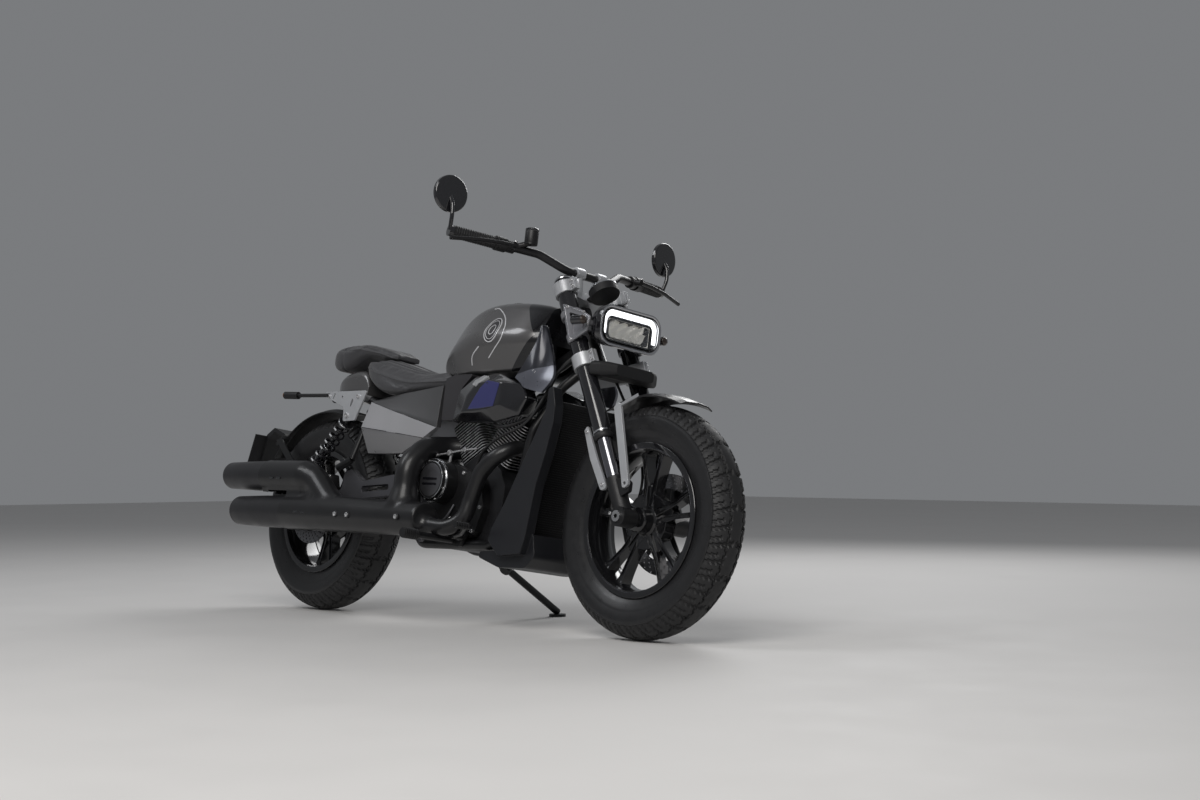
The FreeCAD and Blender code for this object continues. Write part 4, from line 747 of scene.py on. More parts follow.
# each finish and the solids that wear it
CAD_FINISH = {node: look for look, nodes in (
    ("frame_black", "frame footpegs handlebar side_stand"),
    ("engine_black", "crankcase"),
    ("fin_black", "cylinders"),
    ("cast_black", "engine_covers rear_caliper fork_feet hand_controls front_caliper"),
    ("exhaust_black", "silencers exhaust_headers"),
    ("tank_paint", "fuel_tank"),
    ("pod_gloss", "air_pods"),
    ("panel_blue", "tank_side_panels"),
    ("panel_silver", "side_covers"),
    ("trim_grey", "column_covers"),
    ("radiator_black", "radiator"),
    ("shroud_paint", "radiator_shroud"),
    ("seat_cover", "seat pillion_pad"),
    ("cowl_paint", "tail_cowl"),
    ("cast_silver", "tail_brackets upper_yoke lower_yoke fender_stays"),
    ("gloss_black", "rear_shocks fork_tubes mirrors headlight_shell front_indicators"),
    ("arm_grey", "swingarm"),
    ("bright_steel", "rear_axle front_axle"),
    ("chain_steel", "drive_chain rear_sprocket"),
    ("trim_black", "chain_guard rear_fender rear_indicators instrument horn_cover"),
    ("lamp_red", "tail_lamp"),
    ("polished_steel", "fork_stanchions"),
    ("grip_rubber", "grips cables brake_hose"),
    ("lamp_glass", "headlight_lens"),
    ("ear_grey", "headlight_brackets"),
    ("fender_black", "front_fender"),
    ("disc_steel_shaded", "front_disc rear_disc"),
    ("tyre_rubber", "front_tyre rear_tyre"),
    ("wheel_black", "front_rim rear_rim"),
) for node in nodes.split()}


class CRUISER_OT_finishes(bpy.types.Operator):
    """Gives every solid of the frame its own finish"""
    bl_idname = "cruiser.finishes"
    bl_label = "Finishes"

    def execute(self, context):
        make_finishes(context.scene.cruiser_colors)
        for name, node in frame["nodes"].items():
            node.data.materials.clear()
            node.data.materials.append(FINISHES[CAD_FINISH[name]])
        return {"FINISHED"}


def tread_depth(turn, across):
    """1 in a groove, 0 on a block: turn in pitches, across from -1 to 1."""
    side = 1 if across > 0 else -1
    v = abs(across)
    slant = turn - 0.55 * v * side + (0.5 if side > 0 else 0.0)
    local = slant % 1.0
    wide = 0.10 + 0.06 * v
    if 0.30 < v and local < wide * 1.6:
        return 1.0
    if v > 0.62 and abs(local - 0.55) < wide * 0.6:
        return 0.9
    wave = 0.36 + 0.035 * (1 if (turn * 2) % 1.0 < 0.5 else -1)
    if abs(v - wave) < 0.035:
        return 1.0
    if v < 0.30 and abs(((turn + 0.35 * v) * 0.5) % 1.0 - 0.5) < 0.07 and v > 0.06:
        return 0.8
    return 0.0


# outer radius, half width, crown radius, rim radius, rim's half width
FRONT_TYRE, REAR_TYRE = (320, 66, 70, 203, 46), (312, 76, 82, 190, 58)
# shoulder line and bead rings: how far out a row of the side wall stands
TYRE_STEPS = {1: -1.6, 2: 0.8, 13: 1.0, 15: 1.0}


def build_tyre(name, node, centre, sizes, body, pitches, groove):
    """A tyre with cut tread, shoulder line, bulged shiny side walls and bead rings."""
    outer, half, crown, rim, rim_half = sizes
    shoulder = half - 6.0
    at = math.sqrt(crown ** 2 - shoulder ** 2) + outer - crown
    tread_rows, columns = 56, pitches * 12
    profile = []
    for i in range(tread_rows + 1):
        v = -1.0 + 2.0 * i / tread_rows
        y = v * shoulder
        r = outer - crown + math.sqrt(crown ** 2 - y ** 2)
        profile.append((r - 0.6, y, v))
    belly = rim + 0.5 * (outer - rim)
    side = []
    steps = 18
    for i in range(1, steps + 1):
        t = i / steps
        r = (1 - t) ** 2 * at + 2 * (1 - t) * t * (belly + 12) + t * t * (rim + 6)
        y = (1 - t) ** 2 * shoulder + 2 * (1 - t) * t * (half + 7) + t * t * (rim_half - 1)
        side.append((r, min(y + TYRE_STEPS.get(i, 0.0), half - 0.4), None))
    side.append((rim - 1.0, rim_half - 3.0, None))
    ring = [(r, -y, v) for r, y, v in reversed(side)] + profile + side
    n = len(ring)
    verts, faces, zone = [], [], []
    for k in range(columns):
        a = math.tau * k / columns
        for r, y, v in ring:
            depth = 0.0 if v is None else tread_depth(pitches * k / columns, v) * groove
            verts.append((centre[0] + (r - depth) * math.cos(a), y, centre[2] + (r - depth) * math.sin(a)))
    for k in range(columns):
        j = (k + 1) % columns
        for i in range(n - 1):
            faces.append([k * n + i, j * n + i, j * n + i + 1, k * n + i + 1])
            zone.append(0 if ring[i][2] is not None and ring[i + 1][2] is not None else 1)
    tyre = shaped(name, [(verts, faces)], "tyre_rubber", body, smooth=28, slot="tyre_rubber")
    tyre.data.materials.append(FINISHES["tyre_side"])
    tyre.data.polygons.foreach_set("material_index", zone)
    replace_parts(tyre, node)


class CRUISER_OT_tyres(bpy.types.Operator):
    """Both tyres with their tread and side walls"""
    bl_idname = "cruiser.tyres"
    bl_label = "Tyres"

    def execute(self, context):
        look = context.scene.cruiser_tyres
        tread = look.pitches, look.groove / MM
        build_tyre("front_tyre_treaded", "front_tyre", FRONT_AXLE, FRONT_TYRE, "front_wheel", *tread)
        build_tyre("rear_tyre_treaded", "rear_tyre", REAR_AXLE, REAR_TYRE, "rear_wheel", *tread)
        return {"FINISHED"}


# rim radius, rim's half width, hub's half width, hub radius, turn in degrees
FRONT_WHEEL, REAR_WHEEL = (203, 46, 70, 34, 0), (190, 58, 98, 40, 36)
# inner and outer radius, faces at y, hub radius, carrier's face at y
FRONT_DISC, REAR_DISC = (100, 140, 56, 61, 30, 50), (70, 108, -90, -86, 24, -80)
TEETH = 44


def rim_profile(seat, half):
    """Barrel section with its flanges, (radius, y)."""
    inner, well = seat - 8, seat - 18
    right = [(seat - 1, -half + 1), (seat + 8.6, -half - 0.6), (seat + 8.8, -half - 4.8), (seat + 7.4, -half - 6),
             (inner + 1.4, -half - 6), (inner - 1.4, -half - 5), (inner - 2.4, -half - 2), (inner - 2.4, -half + 8),
             (inner - 5, -half + 14), (well, -half + 26)]
    return right + [(r, -y) for r, y in reversed(right)] + [(well + 6, half - 24), (well + 6, -half + 24)]


def arm_rings(well, bearing, lean):
    """One arm of a forked spoke: rings of 16 points with a pocket on both faces."""
    rings = []
    length = well + 3 - (bearing - 4)
    for k in range(11):
        t = k / 10
        dist = bearing - 4 + length * t
        mid = 0.55 * well
        share = (dist - bearing + 4) / (mid - bearing + 4) if dist < mid else (dist - mid) / (well + 3 - mid)
        low, high = ((13, 10, 21), (17, 7.6, 17)) if dist < mid else ((17, 7.6, 17), (36, 7.2, 19.5))
        offset, w, thick = (a + (b - a) * share for a, b in zip(low, high))
        flare = 7.0 * math.exp(-(well - dist) / 9.0 if dist < well else 0)
        w += flare + 2.0 * math.exp(-(dist - bearing) / 14.0)
        deep = 5.5 * min(1.0, max(0.0, (t - 0.16) * 6), max(0.0, (0.93 - t) * 8))
        rail = 2.6
        half = [(-w, thick - 1.2), (-w + 1.0, thick), (-w + rail, thick), (-w + rail + 1.4, thick - deep),
                (w - rail - 1.4, thick - deep), (w - rail, thick), (w - 1.0, thick), (w, thick - 1.2)]
        loop = half + [(u, -y) for u, y in reversed(half)]
        rings.append([(lean * offset + u, y, dist) for u, y in loop])
    return rings


def pocket_plate(outline, thick, rail, deep):
    """A flat web with a raised rim on both faces."""
    cx, cz = middle_of(outline)

    def inset(by):
        ring = []
        for x, z in outline:
            away = Vector((x - cx, z - cz))
            away *= max(0.0, away.length - by) / away.length
            ring.append((cx + away.x, cz + away.y))
        return ring
    loops = [(outline, -thick + 1), (inset(1), -thick), (inset(rail), -thick), (inset(rail + 1.2), -thick + deep)]
    loops = loops + [(loop, -y) for loop, y in reversed(loops)]
    return loft([[(x, y, z) for x, z in loop] for loop, y in loops])


def build_wheel(name, node, centre, sizes, body):
    """Cast wheel with pocketed forked spokes, webs at the hub, and thin lighter metal strips along the edges as
    painted highlights.
    """
    seat, half, hub, bearing, turn = sizes
    well = seat - 18
    # bright: thin metal strips on the rim flanges, spoke rails and web rims, painted highlights
    black, bright = [lathe(rim_profile(seat, half), 120, centre)], []
    for side in SIDES:
        y = side * (half + 6.1)
        back = y - side * 0.6
        edge = [(seat - 7, y), (seat - 5.2, y), (seat - 5.2, back), (seat - 7, back)]
        bright.append(lathe(edge, 120, centre))
    core = [(10.2, -hub), (bearing - 15, -hub), (bearing - 14, -hub + 1), (bearing - 14, -hub + 10),
            (bearing - 3, -hub + 13), (bearing, -hub + 17), (bearing + 2, -26), (bearing + 7, -20)]
    black.append(lathe(core + [(r, -y) for r, y in reversed(core)], 60, centre))
    for pair in range(5):
        angle = math.radians(turn + 72.0 * pair)
        for lean in SIDES:
            rings = arm_rings(well, bearing, lean)
            black.append(about_axle(loft(rings), centre, angle))
            for i in (1, 5, 9, 13):
                for a, b in zip(rings[1:-1], rings[2:]):
                    lift = 0.25 if i < 8 else -0.25
                    quad = [tuple(Vector(q) + Vector((0, lift, 0))) for q in (a[i], a[i + 1], b[i + 1], b[i])]
                    bright.append(about_axle((quad, [[0, 1, 2, 3]]), centre, angle))
        inside = [(-15, bearing), (15, bearing), (11, 0.5 * well), (0, 0.5 * well + 7), (-11, 0.5 * well)]
        black.append(about_axle(pocket_plate(inside, 14, 3, 5), centre, angle))
        gap, wide, tight = math.radians(36), math.radians(21), math.radians(8)
        reach = bearing + 44
        web = [((bearing + 2) * math.sin(a), (bearing + 2) * math.cos(a)) for a in (-tight, tight)]
        web += [(reach * math.sin(a), reach * math.cos(a)) for a in (wide, 0, -wide)]
        black.append(about_axle(pocket_plate(web, 20, 4, 12), centre, angle + gap))
        outer, inner = (shrunk(web, share, (0, bearing + 26)) for share in (0.955, 0.90))
        for side in SIDES:
            bright.append(about_axle(ring_between(outer, inner, side * 20.0, side * 20.4), centre, angle + gap))
    wheel = shaped(name, black, "wheel_black", body, smooth=32, slot="wheel_black")
    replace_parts(wheel, node)
    # the edge strips are painted highlights on the gloss black
    shaped(name + "_edges", bright, "wheel_edge_highlight", body, smooth=60)


def pierced_ring(r_in, r_out, rows, sectors, hole, y0, y1):
    """A brake disc's friction ring with drilled holes, staggered row by row."""
    verts, faces = [], []
    step = (r_out - r_in) / rows
    for row in range(rows):
        a_r, b_r = r_in + row * step, r_in + (row + 1) * step
        for k in range(sectors):
            t0, t1 = math.tau * k / sectors, math.tau * (k + 1) / sectors
            tm, rm = (t0 + t1) / 2, (a_r + b_r) / 2
            edge = [(a_r, t0), (a_r, tm), (a_r, t1), (rm, t1), (b_r, t1), (b_r, tm), (b_r, t0), (rm, t0)]
            rim_points = [(r * math.cos(t), r * math.sin(t)) for r, t in edge]
            pierced = (k + row * 2) % 3 == 0
            cx, cz = rm * math.cos(tm), rm * math.sin(tm)
            for y, flip in ((y0, False), (y1, True)):
                start = len(verts)
                verts += [(x, y, z) for x, z in rim_points]
                if not pierced:
                    face = list(range(start, start + 8))
                    faces.append(face if flip else face[::-1])
                    continue
                for x, z in rim_points:
                    away = Vector((x - cx, z - cz)).normalized() * hole
                    verts.append((cx + away.x, y, cz + away.y))
                for i in range(8):
                    j = (i + 1) % 8
                    quad = [start + i, start + j, start + 8 + j, start + 8 + i]
                    faces.append(quad if flip else quad[::-1])
            if pierced:
                low, high = len(verts) - 24, len(verts) - 8
                for i in range(8):
                    j = (i + 1) % 8
                    faces.append([low + i, low + j, high + j, high + i])
    for r in (r_in, r_out):
        wall, quads = ring_between(circle(r, sectors), circle(r, sectors), y0, y1)
        start = len(verts)
        verts += wall
        faces += [[start + q for q in quads[i]] for i in range(sectors * 3, sectors * 4)]
    return verts, faces


def build_disc(name, node, centre, sizes, body):
    """Drilled brake disc, its carrier and the pins between them."""
    r_in, r_out, y0, y1, hub, carrier = sizes
    ring = moved(pierced_ring(r_in, r_out, 4, 90, 3.0, y0, y1), Matrix.Translation(centre))
    # the disc wears steel darkened as painted shade
    piece = shaped(name, [ring], "disc_steel_shaded", body, smooth=30, slot="bright_steel")
    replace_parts(piece, node)
    low, high = min(carrier, y0), max(carrier, y1)
    shapes = [lathe([(hub, low), (hub + 14, low), (hub + 14, high), (hub, high)], 48, centre)]
    pins = []
    side, y = (1, y1) if carrier < y0 or y0 > 0 else (-1, y0)
    for a in turns(5):
        arm = prism([(-10, hub + 8), (10, hub + 8), (7, r_in + 5), (-7, r_in + 5)], y0 + 0.4, y1 - 0.4)
        shapes.append(about_axle(arm, centre, a))
        for r, size in ((r_in + 1, 5.5), (hub + 8, 4.5)):
            pins.append((centre[0] + r * math.sin(a), y, centre[2] + r * math.cos(a), (0, side, 0), size, 1.2))
    shaped(name + "_carrier", shapes, "cast_black", body, smooth=35, bevel=0.8)
    bolts(name + "_pins", pins, body)


class CRUISER_OT_wheels(bpy.types.Operator):
    """Cast wheels, brake discs, toothed sprocket"""
    bl_idname = "cruiser.wheels"
    bl_label = "Wheels"

    def execute(self, context):
        build_wheel("front_wheel_cast", "front_rim", FRONT_AXLE, FRONT_WHEEL, "front_wheel")
        build_wheel("rear_wheel_cast", "rear_rim", REAR_AXLE, REAR_WHEEL, "rear_wheel")
        build_disc("front_brake_ring", "front_disc", FRONT_AXLE, FRONT_DISC, "front_wheel")
        build_disc("rear_brake_ring", "rear_disc", REAR_AXLE, REAR_DISC, "rear_wheel")
        outer = [(r * math.cos(a), r * math.sin(a))
                 for a, r in zip(turns(TEETH * 4), (77.0, 79.5, 81.5, 79.5) * TEETH)]
        shapes = [ring_between(outer, circle(60, TEETH * 4), 90.2, 95.8)]
        arm = prism([(-9, 30), (9, 30), (12, 62), (-12, 62)], 90.6, 95.4)
        shapes += [about_axle(arm, (0, 0, 0), a) for a in turns(6)]
        shapes.append(lathe([(22, 90), (36, 90), (36, 96), (22, 96)], 48))
        piece = shaped("toothed_sprocket", [moved(join_shapes(shapes), Matrix.Translation(REAR_AXLE))],
                       "chain_steel", "rear_wheel", smooth=30, slot="chain_steel")
        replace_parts(piece, "rear_sprocket")
        pins = screws(95.8, (0, 1, 0), 6, 1.6, [(50 * math.sin(a), 312 + 50 * math.cos(a)) for a in turns(6)])
        bolts("sprocket_bolts", pins, "rear_wheel")
        return {"FINISHED"}


CHAIN_PITCH = 15.875
BIG_PITCH_CIRCLE, SMALL_PITCH_CIRCLE, DRIVE_AXLE = 84.0, 42.0, (592, 396)


def chain_path():
    """Points at chain pitch round the two sprockets."""
    back, ahead = Vector((0, REAR_AXLE[2])), Vector(DRIVE_AXLE)
    big, small = BIG_PITCH_CIRCLE, SMALL_PITCH_CIRCLE
    line = ahead - back
    ang = math.atan2(line.y, line.x)
    off = math.acos((big - small) / line.length)
    route = []
    wraps = ((back, big, ang + off, math.tau - 2 * off), (ahead, small, ang - off, 2 * off))
    for centre, radius, start, sweep in wraps:
        for k in range(41):
            t = start + sweep * k / 40
            route.append(centre + Vector((math.cos(t), math.sin(t))) * radius)
    route.append(route[0])
    spans = [(b - a).length for a, b in zip(route, route[1:])]
    total = sum(spans)
    count = round(total / CHAIN_PITCH / 2) * 2
    points = []
    for k in range(count):
        want, i = total * k / count, 0
        while want > spans[i]:
            want -= spans[i]
            i += 1
        points.append(route[i].lerp(route[i + 1], want / spans[i]))
    return points


class CRUISER_OT_chain(bpy.types.Operator):
    """Roller chain, link by link"""
    bl_idname = "cruiser.chain"
    bl_label = "Chain"

    def execute(self, context):
        points = chain_path()
        plates = (((88.1, 89.3), (96.7, 97.9)), ((89.5, 90.7), (95.3, 96.5)))
        shapes = []
        for k, (p, q) in enumerate(zip(points, points[1:] + points[:1])):
            middle = p.lerp(q, 0.5)
            along = (q - p).normalized()
            across = Vector((-along.y, along.x))
            ends = oval(p.x, p.y, q.x, q.y, 5.4, 6)
            waist = [tuple(middle + across * 4.0), tuple(middle - across * 4.0)]
            loop = ends[:7] + waist[:1] + ends[7:] + waist[1:]
            shapes += [prism(loop, y0, y1) for y0, y1 in plates[k % 2]]
            shapes.append(prism(circle(4.4, 10, p.x, p.y), 90.7, 95.3))
            shapes.append(prism(circle(2.2, 8, p.x, p.y), 87.9, 98.1))
        piece = shaped("roller_chain", shapes, "chain_steel", smooth=30, slot="chain_steel")
        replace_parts(piece, "drive_chain")
        return {"FINISHED"}


CLOTH_STEPS = 20


def cushion(name, node, cap, shaping):
    """A padded cover: its solid's skin a little smaller, blown up as cloth, then sewn."""
    data = remeshed(copied([frame["nodes"][node]]), 5.0, (("melt", 6), ("grow", -2.5)))
    start = [v.co.copy() for v in data.vertices]
    scene = bpy.context.scene
    soft = linked("blown", data)
    cloth = soft.modifiers.new("Swell", "CLOTH")
    cloth.settings.quality = 6
    cloth.settings.use_pressure = True
    cloth.settings.uniform_pressure_force = 4.0
    cloth.settings.tension_stiffness = 30
    cloth.settings.compression_stiffness = 30
    cloth.settings.bending_stiffness = 2.0
    cloth.settings.effector_weights.gravity = 0
    for step in range(1, CLOTH_STEPS + 1):
        scene.frame_set(step)
    blown = baked(soft)
    bpy.data.objects.remove(soft)
    scene.frame_set(1)
    for v, rest in zip(blown.vertices, start):
        move = v.co - rest
        if move.length > cap * MM:
            v.co = rest + move.normalized() * cap * MM
    data = blown
    fine = linked("fine", data)
    level = fine.modifiers.new("Fine", "SUBSURF")
    level.levels = 1
    data = baked(fine)
    bpy.data.objects.remove(fine)
    for v in data.vertices:
        v.co = MACHINE @ (shaping((FROM_MACHINE @ v.co) / MM) * MM)
    piece = add_piece(name, data, "seat_cover", smooth=180, slot="seat_cover")
    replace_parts(piece, node)


def between(table, x):
    """Values of a station table at x."""
    x = min(max(x, table[0][0]), table[-1][0])
    for low, high in zip(table, table[1:]):
        if x <= high[0]:
            t = (x - low[0]) / (high[0] - low[0])
            return [a + (b - a) * t for a, b in zip(low[1:], high[1:])]


def groove(distance, width, depth):
    """How far a sewn channel sinks at a distance from its line."""
    return -depth * math.exp(-(distance / width) ** 2)


def ramp(value, start, length):
    """0 up to the start, then rising to 1 over the length."""
    return min(1.0, max(0.0, (value - start) / length))


# x, half width, bottom, top
SEAT = ((206, 92, 768, 797), (260, 122, 724, 800), (345, 134, 684, 782), (430, 132, 677, 760),
        (540, 108, 687, 748), (630, 80, 702, 745))
PILLION = ((-14, 62, 784, 822), (18, 90, 767, 842), (84, 98, 772, 850), (150, 94, 803, 851), (230, 74, 803, 838),
           (296, 46, 799, 818))


def sew_seat(p):
    """Curved channels that run forward from under the pad, and a welt round the side."""
    half, low, high = between(SEAT, p.x)
    share = p.y / half
    drop = 0.0
    if p.z > high - 16:
        fade = ramp(p.x, 196, 30) * ramp(-p.x, -560, 120)
        squeeze = 1.0 - 0.25 * max(0.0, (p.x - 300) / 260)
        for line in (0.16, 0.34, 0.52, 0.70):
            drop += fade * groove((abs(share) - line * squeeze) * half, 3.2, 6.5)
        for line in (0.25, 0.43, 0.61):
            drop += fade * groove((abs(share) - line * squeeze) * half, 6, -2.0)
    out = Vector(p)
    rise = ramp(p.x, 214, 80) * ramp(-p.x, -610, 130) * ramp(p.z, low, high - low)
    out.z += drop - 30 * rise * (max(0.0, abs(share) - 0.28) / 0.72) ** 1.3
    if abs(share) > 0.86 and p.z < high - 8:
        out.y += math.copysign(groove(p.z - (high - 26), 2.6, 3.0), p.y)
    return out


def sew_pillion(p):
    """The rolled rear end, its seam and a welt round the pad."""
    half, low, high = between(PILLION, p.x)
    out = Vector(p)
    away = p - Vector((p.x, 0, (low + high) / 2))
    if p.x < 120 and away.length > 1:
        out += away.normalized() * groove(p.x - 66, 3.4, 4.0)
    if p.x > 90 and abs(p.y) > 0.82 * half:
        out.y += math.copysign(groove(p.z - (high - 17), 2.4, 2.6), p.y)
    if 110 < p.x < 285 and p.z > high - 12:
        for line in (0.3, 0.62):
            seam = groove((abs(p.y / half) - line) * half, 3.2, 2.4)
            out.z += seam * ramp(p.x, 110, 30) * ramp(-p.x, -285, 30)
    return out


class CRUISER_OT_seats(bpy.types.Operator):
    """Rider's seat and pillion pad as sewn, padded covers"""
    bl_idname = "cruiser.seats"
    bl_label = "Seats"

    def execute(self, context):
        cushion("rider_cushion", "seat", 6.0, sew_seat)
        cushion("pillion_cushion", "pillion_pad", 5.0, sew_pillion)
        return {"FINISHED"}


class CRUISER_OT_exhaust(bpy.types.Operator):
    """Pipes and silencers with melted joints, and their end pieces"""
    bl_idname = "cruiser.exhaust"
    bl_label = "Exhaust"

    def execute(self, context):
        nodes = [frame["nodes"][name] for name in ("silencers", "exhaust_headers")]
        steps = (("grow", 13.0), ("skin", 5.0), ("melt", 10), ("grow", -13.0), ("melt", 6))
        data = remeshed(copied(nodes), 5.0, steps)
        bm = bmesh.new()
        bm.from_mesh(data)
        # the tips take over behind these places, below and above the gap between the silencers
        places = [(FROM_MACHINE @ v.co) / MM for v in bm.verts]
        gone = [v for v, p in zip(bm.verts, places) if p.y < -140 and p.x < (62 if p.z < 348 else -78)]
        bmesh.ops.delete(bm, geom=gone, context="VERTS")
        bm.to_mesh(data)
        bm.free()
        skin = add_piece("exhaust_skin", data, "exhaust_black", smooth=180, slot="exhaust_black")
        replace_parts(skin, "silencers", "exhaust_headers")
        tips, marks = [], []
        for x0, x1, z, r, mark_x, mark_drop in ((66, -226.5, 290, 54, 183, 3), (-74, -298.5, 404, 51, 20, 12)):
            profile = [(r - 0.8, x0 + 2), (r - 0.2, x0 - 1), (r - 2.2, x0 - 3.5), (r - 2.4, x0 - 8),
                       (r - 3.4, x1 + 150), (r - 7.4, x1 + 3), (r - 8.2, x1 + 0.8), (r - 9.4, x1), (r - 11, x1),
                       (r - 12.2, x1 + 1.6), (r - 11.8, x1 + 100), (8, x1 + 104), (8, x0 + 2)]
            tips.append(lathe(profile, 64, (0, PIPE_Y, z), "x"))
            for shift in (-20.4, 20.4):
                mark = [(mark_x + shift + (8 if math.cos(a) > 0 else -8) + 3.2 * math.cos(a),
                         z - mark_drop + 3.2 * math.sin(a)) for a in turns(12)]
                marks.append(prism(mark, PIPE_Y - r - 0.9, PIPE_Y - r + 6))
        shaped("exhaust_tips", tips, "exhaust_tip", smooth=35)
        shaped("exhaust_slots", marks, "glass_black", smooth=30)
        spots = ((375, 284), (436, 283), (678, 283))
        rings = [lathe([(7.4, -263), (10.5, -263), (10.5, -267.2), (9.6, -268), (7.4, -268)], 28, (x, 0, z))
                 for x, z in spots]
        shaped("exhaust_cups", rings, "exhaust_tip", smooth=35)
        bolts("exhaust_screws", screws(-267.6, (0, -1, 0), 7.0, 3.4, spots))
        return {"FINISHED"}


# rows of (x, y, z) points that run along the panels on the side of y > 0
COVER_ROWS = (((343, 118, 664), (440, 120, 676), (540, 120, 686), (640, 120, 697)),
              ((320, 143, 650), (432, 146, 622), (545, 146, 594), (655, 140, 568)),
              ((277, 140, 571), (380, 144, 560), (488, 144, 548), (593, 138, 536)),
              ((303, 120, 492), (360, 120, 491), (418, 120, 491), (474, 120, 492)))
WING_ROWS = (((1001, 150, 705), (1034, 144, 757), (1052, 130, 812), (1052, 118, 858)),
             ((1030, 152, 688), (1062, 146, 730), (1068, 130, 790), (1055, 116, 862)),
             ((1048, 150, 674), (1094, 140, 703), (1092, 122, 766), (1058, 110, 862)),
             ((1112, 142, 660), (1138, 130, 702), (1120, 116, 752), (1062, 106, 858)))


def curved_panel(rows, side, deep, across):
    """A panel of some depth whose face runs through rows of points, straight or curved from row to row."""
    lines = [smooth_route([(x, side * y, z) for x, y, z in row], 8) for row in rows]
    columns = []
    for points in zip(*lines):
        if across == "curved":
            columns.append([Vector(p) for p in smooth_route(points, 8)])
        else:
            spans = zip(points, points[1:])
            columns.append([Vector(a).lerp(Vector(b), k / 8) for a, b in spans for k in range(8)]
                           + [Vector(points[-1])])
    n, m = len(columns), len(columns[0])
    face = sum(columns, [])
    back = [p - Vector((0, side * deep, 0)) for p in face]
    faces = [[i * m + k, i * m + k + 1, (i + 1) * m + k + 1, (i + 1) * m + k]
             for i in range(n - 1) for k in range(m - 1)]
    faces += [[v + n * m for v in reversed(quad)] for quad in faces]
    edge = list(range(m)) + [i * m + m - 1 for i in range(1, n)]
    edge += [(n - 1) * m + k for k in range(m - 2, -1, -1)] + [i * m for i in range(n - 2, 0, -1)]
    for a, b in zip(edge, edge[1:] + edge[:1]):
        faces.append([a, b, b + n * m, a + n * m])
    return [tuple(p) for p in face + back], faces


# Lamp's face at x = LAMP_X; half width, bottom and top of its shell
LAMP_X, LAMP_HALF, LAMP_LOW, LAMP_HIGH = 1300, 118, 800, 915


class CRUISER_OT_lamps(bpy.types.Operator):
    """Headlamp with its light bar and reflector, indicators' lenses, ears' bolts"""
    bl_idname = "cruiser.lamps"
    bl_label = "Lamps"

    def execute(self, context):
        face, half, low, high = LAMP_X, LAMP_HALF, LAMP_LOW, LAMP_HIGH

        def arch(inset, foot, r):
            top = [(y, z) for _, y, z in rounded_rect(0, half - inset, low, high - inset, r)[:18]]
            return [(half - inset, low + foot)] + top + [(inset - half, low + foot)]
        bar = strip(arch(12.4, 34, 31), arch(29.0, 34, 19), face - 13.0, face - 9.5)
        shaped("headlamp_bar", [bar], "led", "fork")
        trim = strip(arch(29.2, 24, 19), arch(31.2, 24, 17), face - 13.4, face - 8.5)
        shaped("headlamp_trim", [trim], "cover_grey", "fork")
        rim = [rounded_rect(face + x, half - inset, low + inset, high - inset, r, 10)
               for x, inset, r in ((-3, -0.4, 42.4), (1.4, 0.8, 41), (1.8, 3.2, 39), (1.0, 6.6, 36), (-3, 9.2, 35))]
        shaped("headlamp_rim", [loft(rim, False)], "bezel", "fork", smooth=50)
        cells, quads = [], []
        rows, columns = 8, 18
        wide, foot, top = half - 37, low + 21, high - 37
        for i in range(rows + 1):
            for k in range(columns + 1):
                u, v = 2 * k / columns - 1, 2 * i / rows - 1
                deep = 3.0 + 7.0 * (1 - u * u) * (1 - v * v) + 5.0 * ((i * 7 + k * 5) % 4) / 3
                if i in (0, rows) or k in (0, columns):
                    deep = 0
                cells.append((face - 13.2 - deep, wide * u, (foot + top) / 2 + (top - foot) / 2 * v))
        for i in range(rows):
            for k in range(columns):
                a = i * (columns + 1) + k
                quads.append([a, a + 1, a + columns + 2, a + columns + 1])
        # the reflector's cells glow faintly and warm: a painted reflection of the surroundings
        shaped("headlamp_reflector", [(cells, quads)], "reflector", "fork", smooth=5)
        outline = [(face - 150, 913), (face - 69, 890), (face - 33, 871), (face - 40, 834), (face - 107, 803)]
        ears = [ring_between(outline, shrunk(outline, 0.87), side * 130.6, side * 132.2) for side in SIDES]
        shaped("ear_rims", ears, "bezel", "fork", smooth=20, bevel=0.5)
        ends = [(x, side * 131, z, (0, side, 0), r, 4) for side in SIDES
                for x, z, r in ((1243, 886, 4), (1262, 853, 4), (1172, 905, 4.5), (1199, 812, 4.5))]
        bolts("ear_bolts", ends, "fork")
        front = [lathe([(12.4, 1273), (12.4, 1275), (11, 1277.5), (6, 1279.6), (0.1, 1280)], 28,
                       (0, side * 160, 858), "x", False) for side in SIDES]
        shaped("front_lenses", front, "lens_smoked", "fork", smooth=50)
        rear = []
        for side in SIDES:
            tip, root = Vector((-118, side * 172, 676)), Vector((-60, side * 160, 676))
            lens = turned([(11.4, -1), (11.4, 1), (10, 3), (5, 4.8), (0.1, 5)], 28)
            rear.append(placed(lens, tip, tip - root))
        shaped("rear_lenses", rear, "amber", smooth=50)
        return {"FINISHED"}


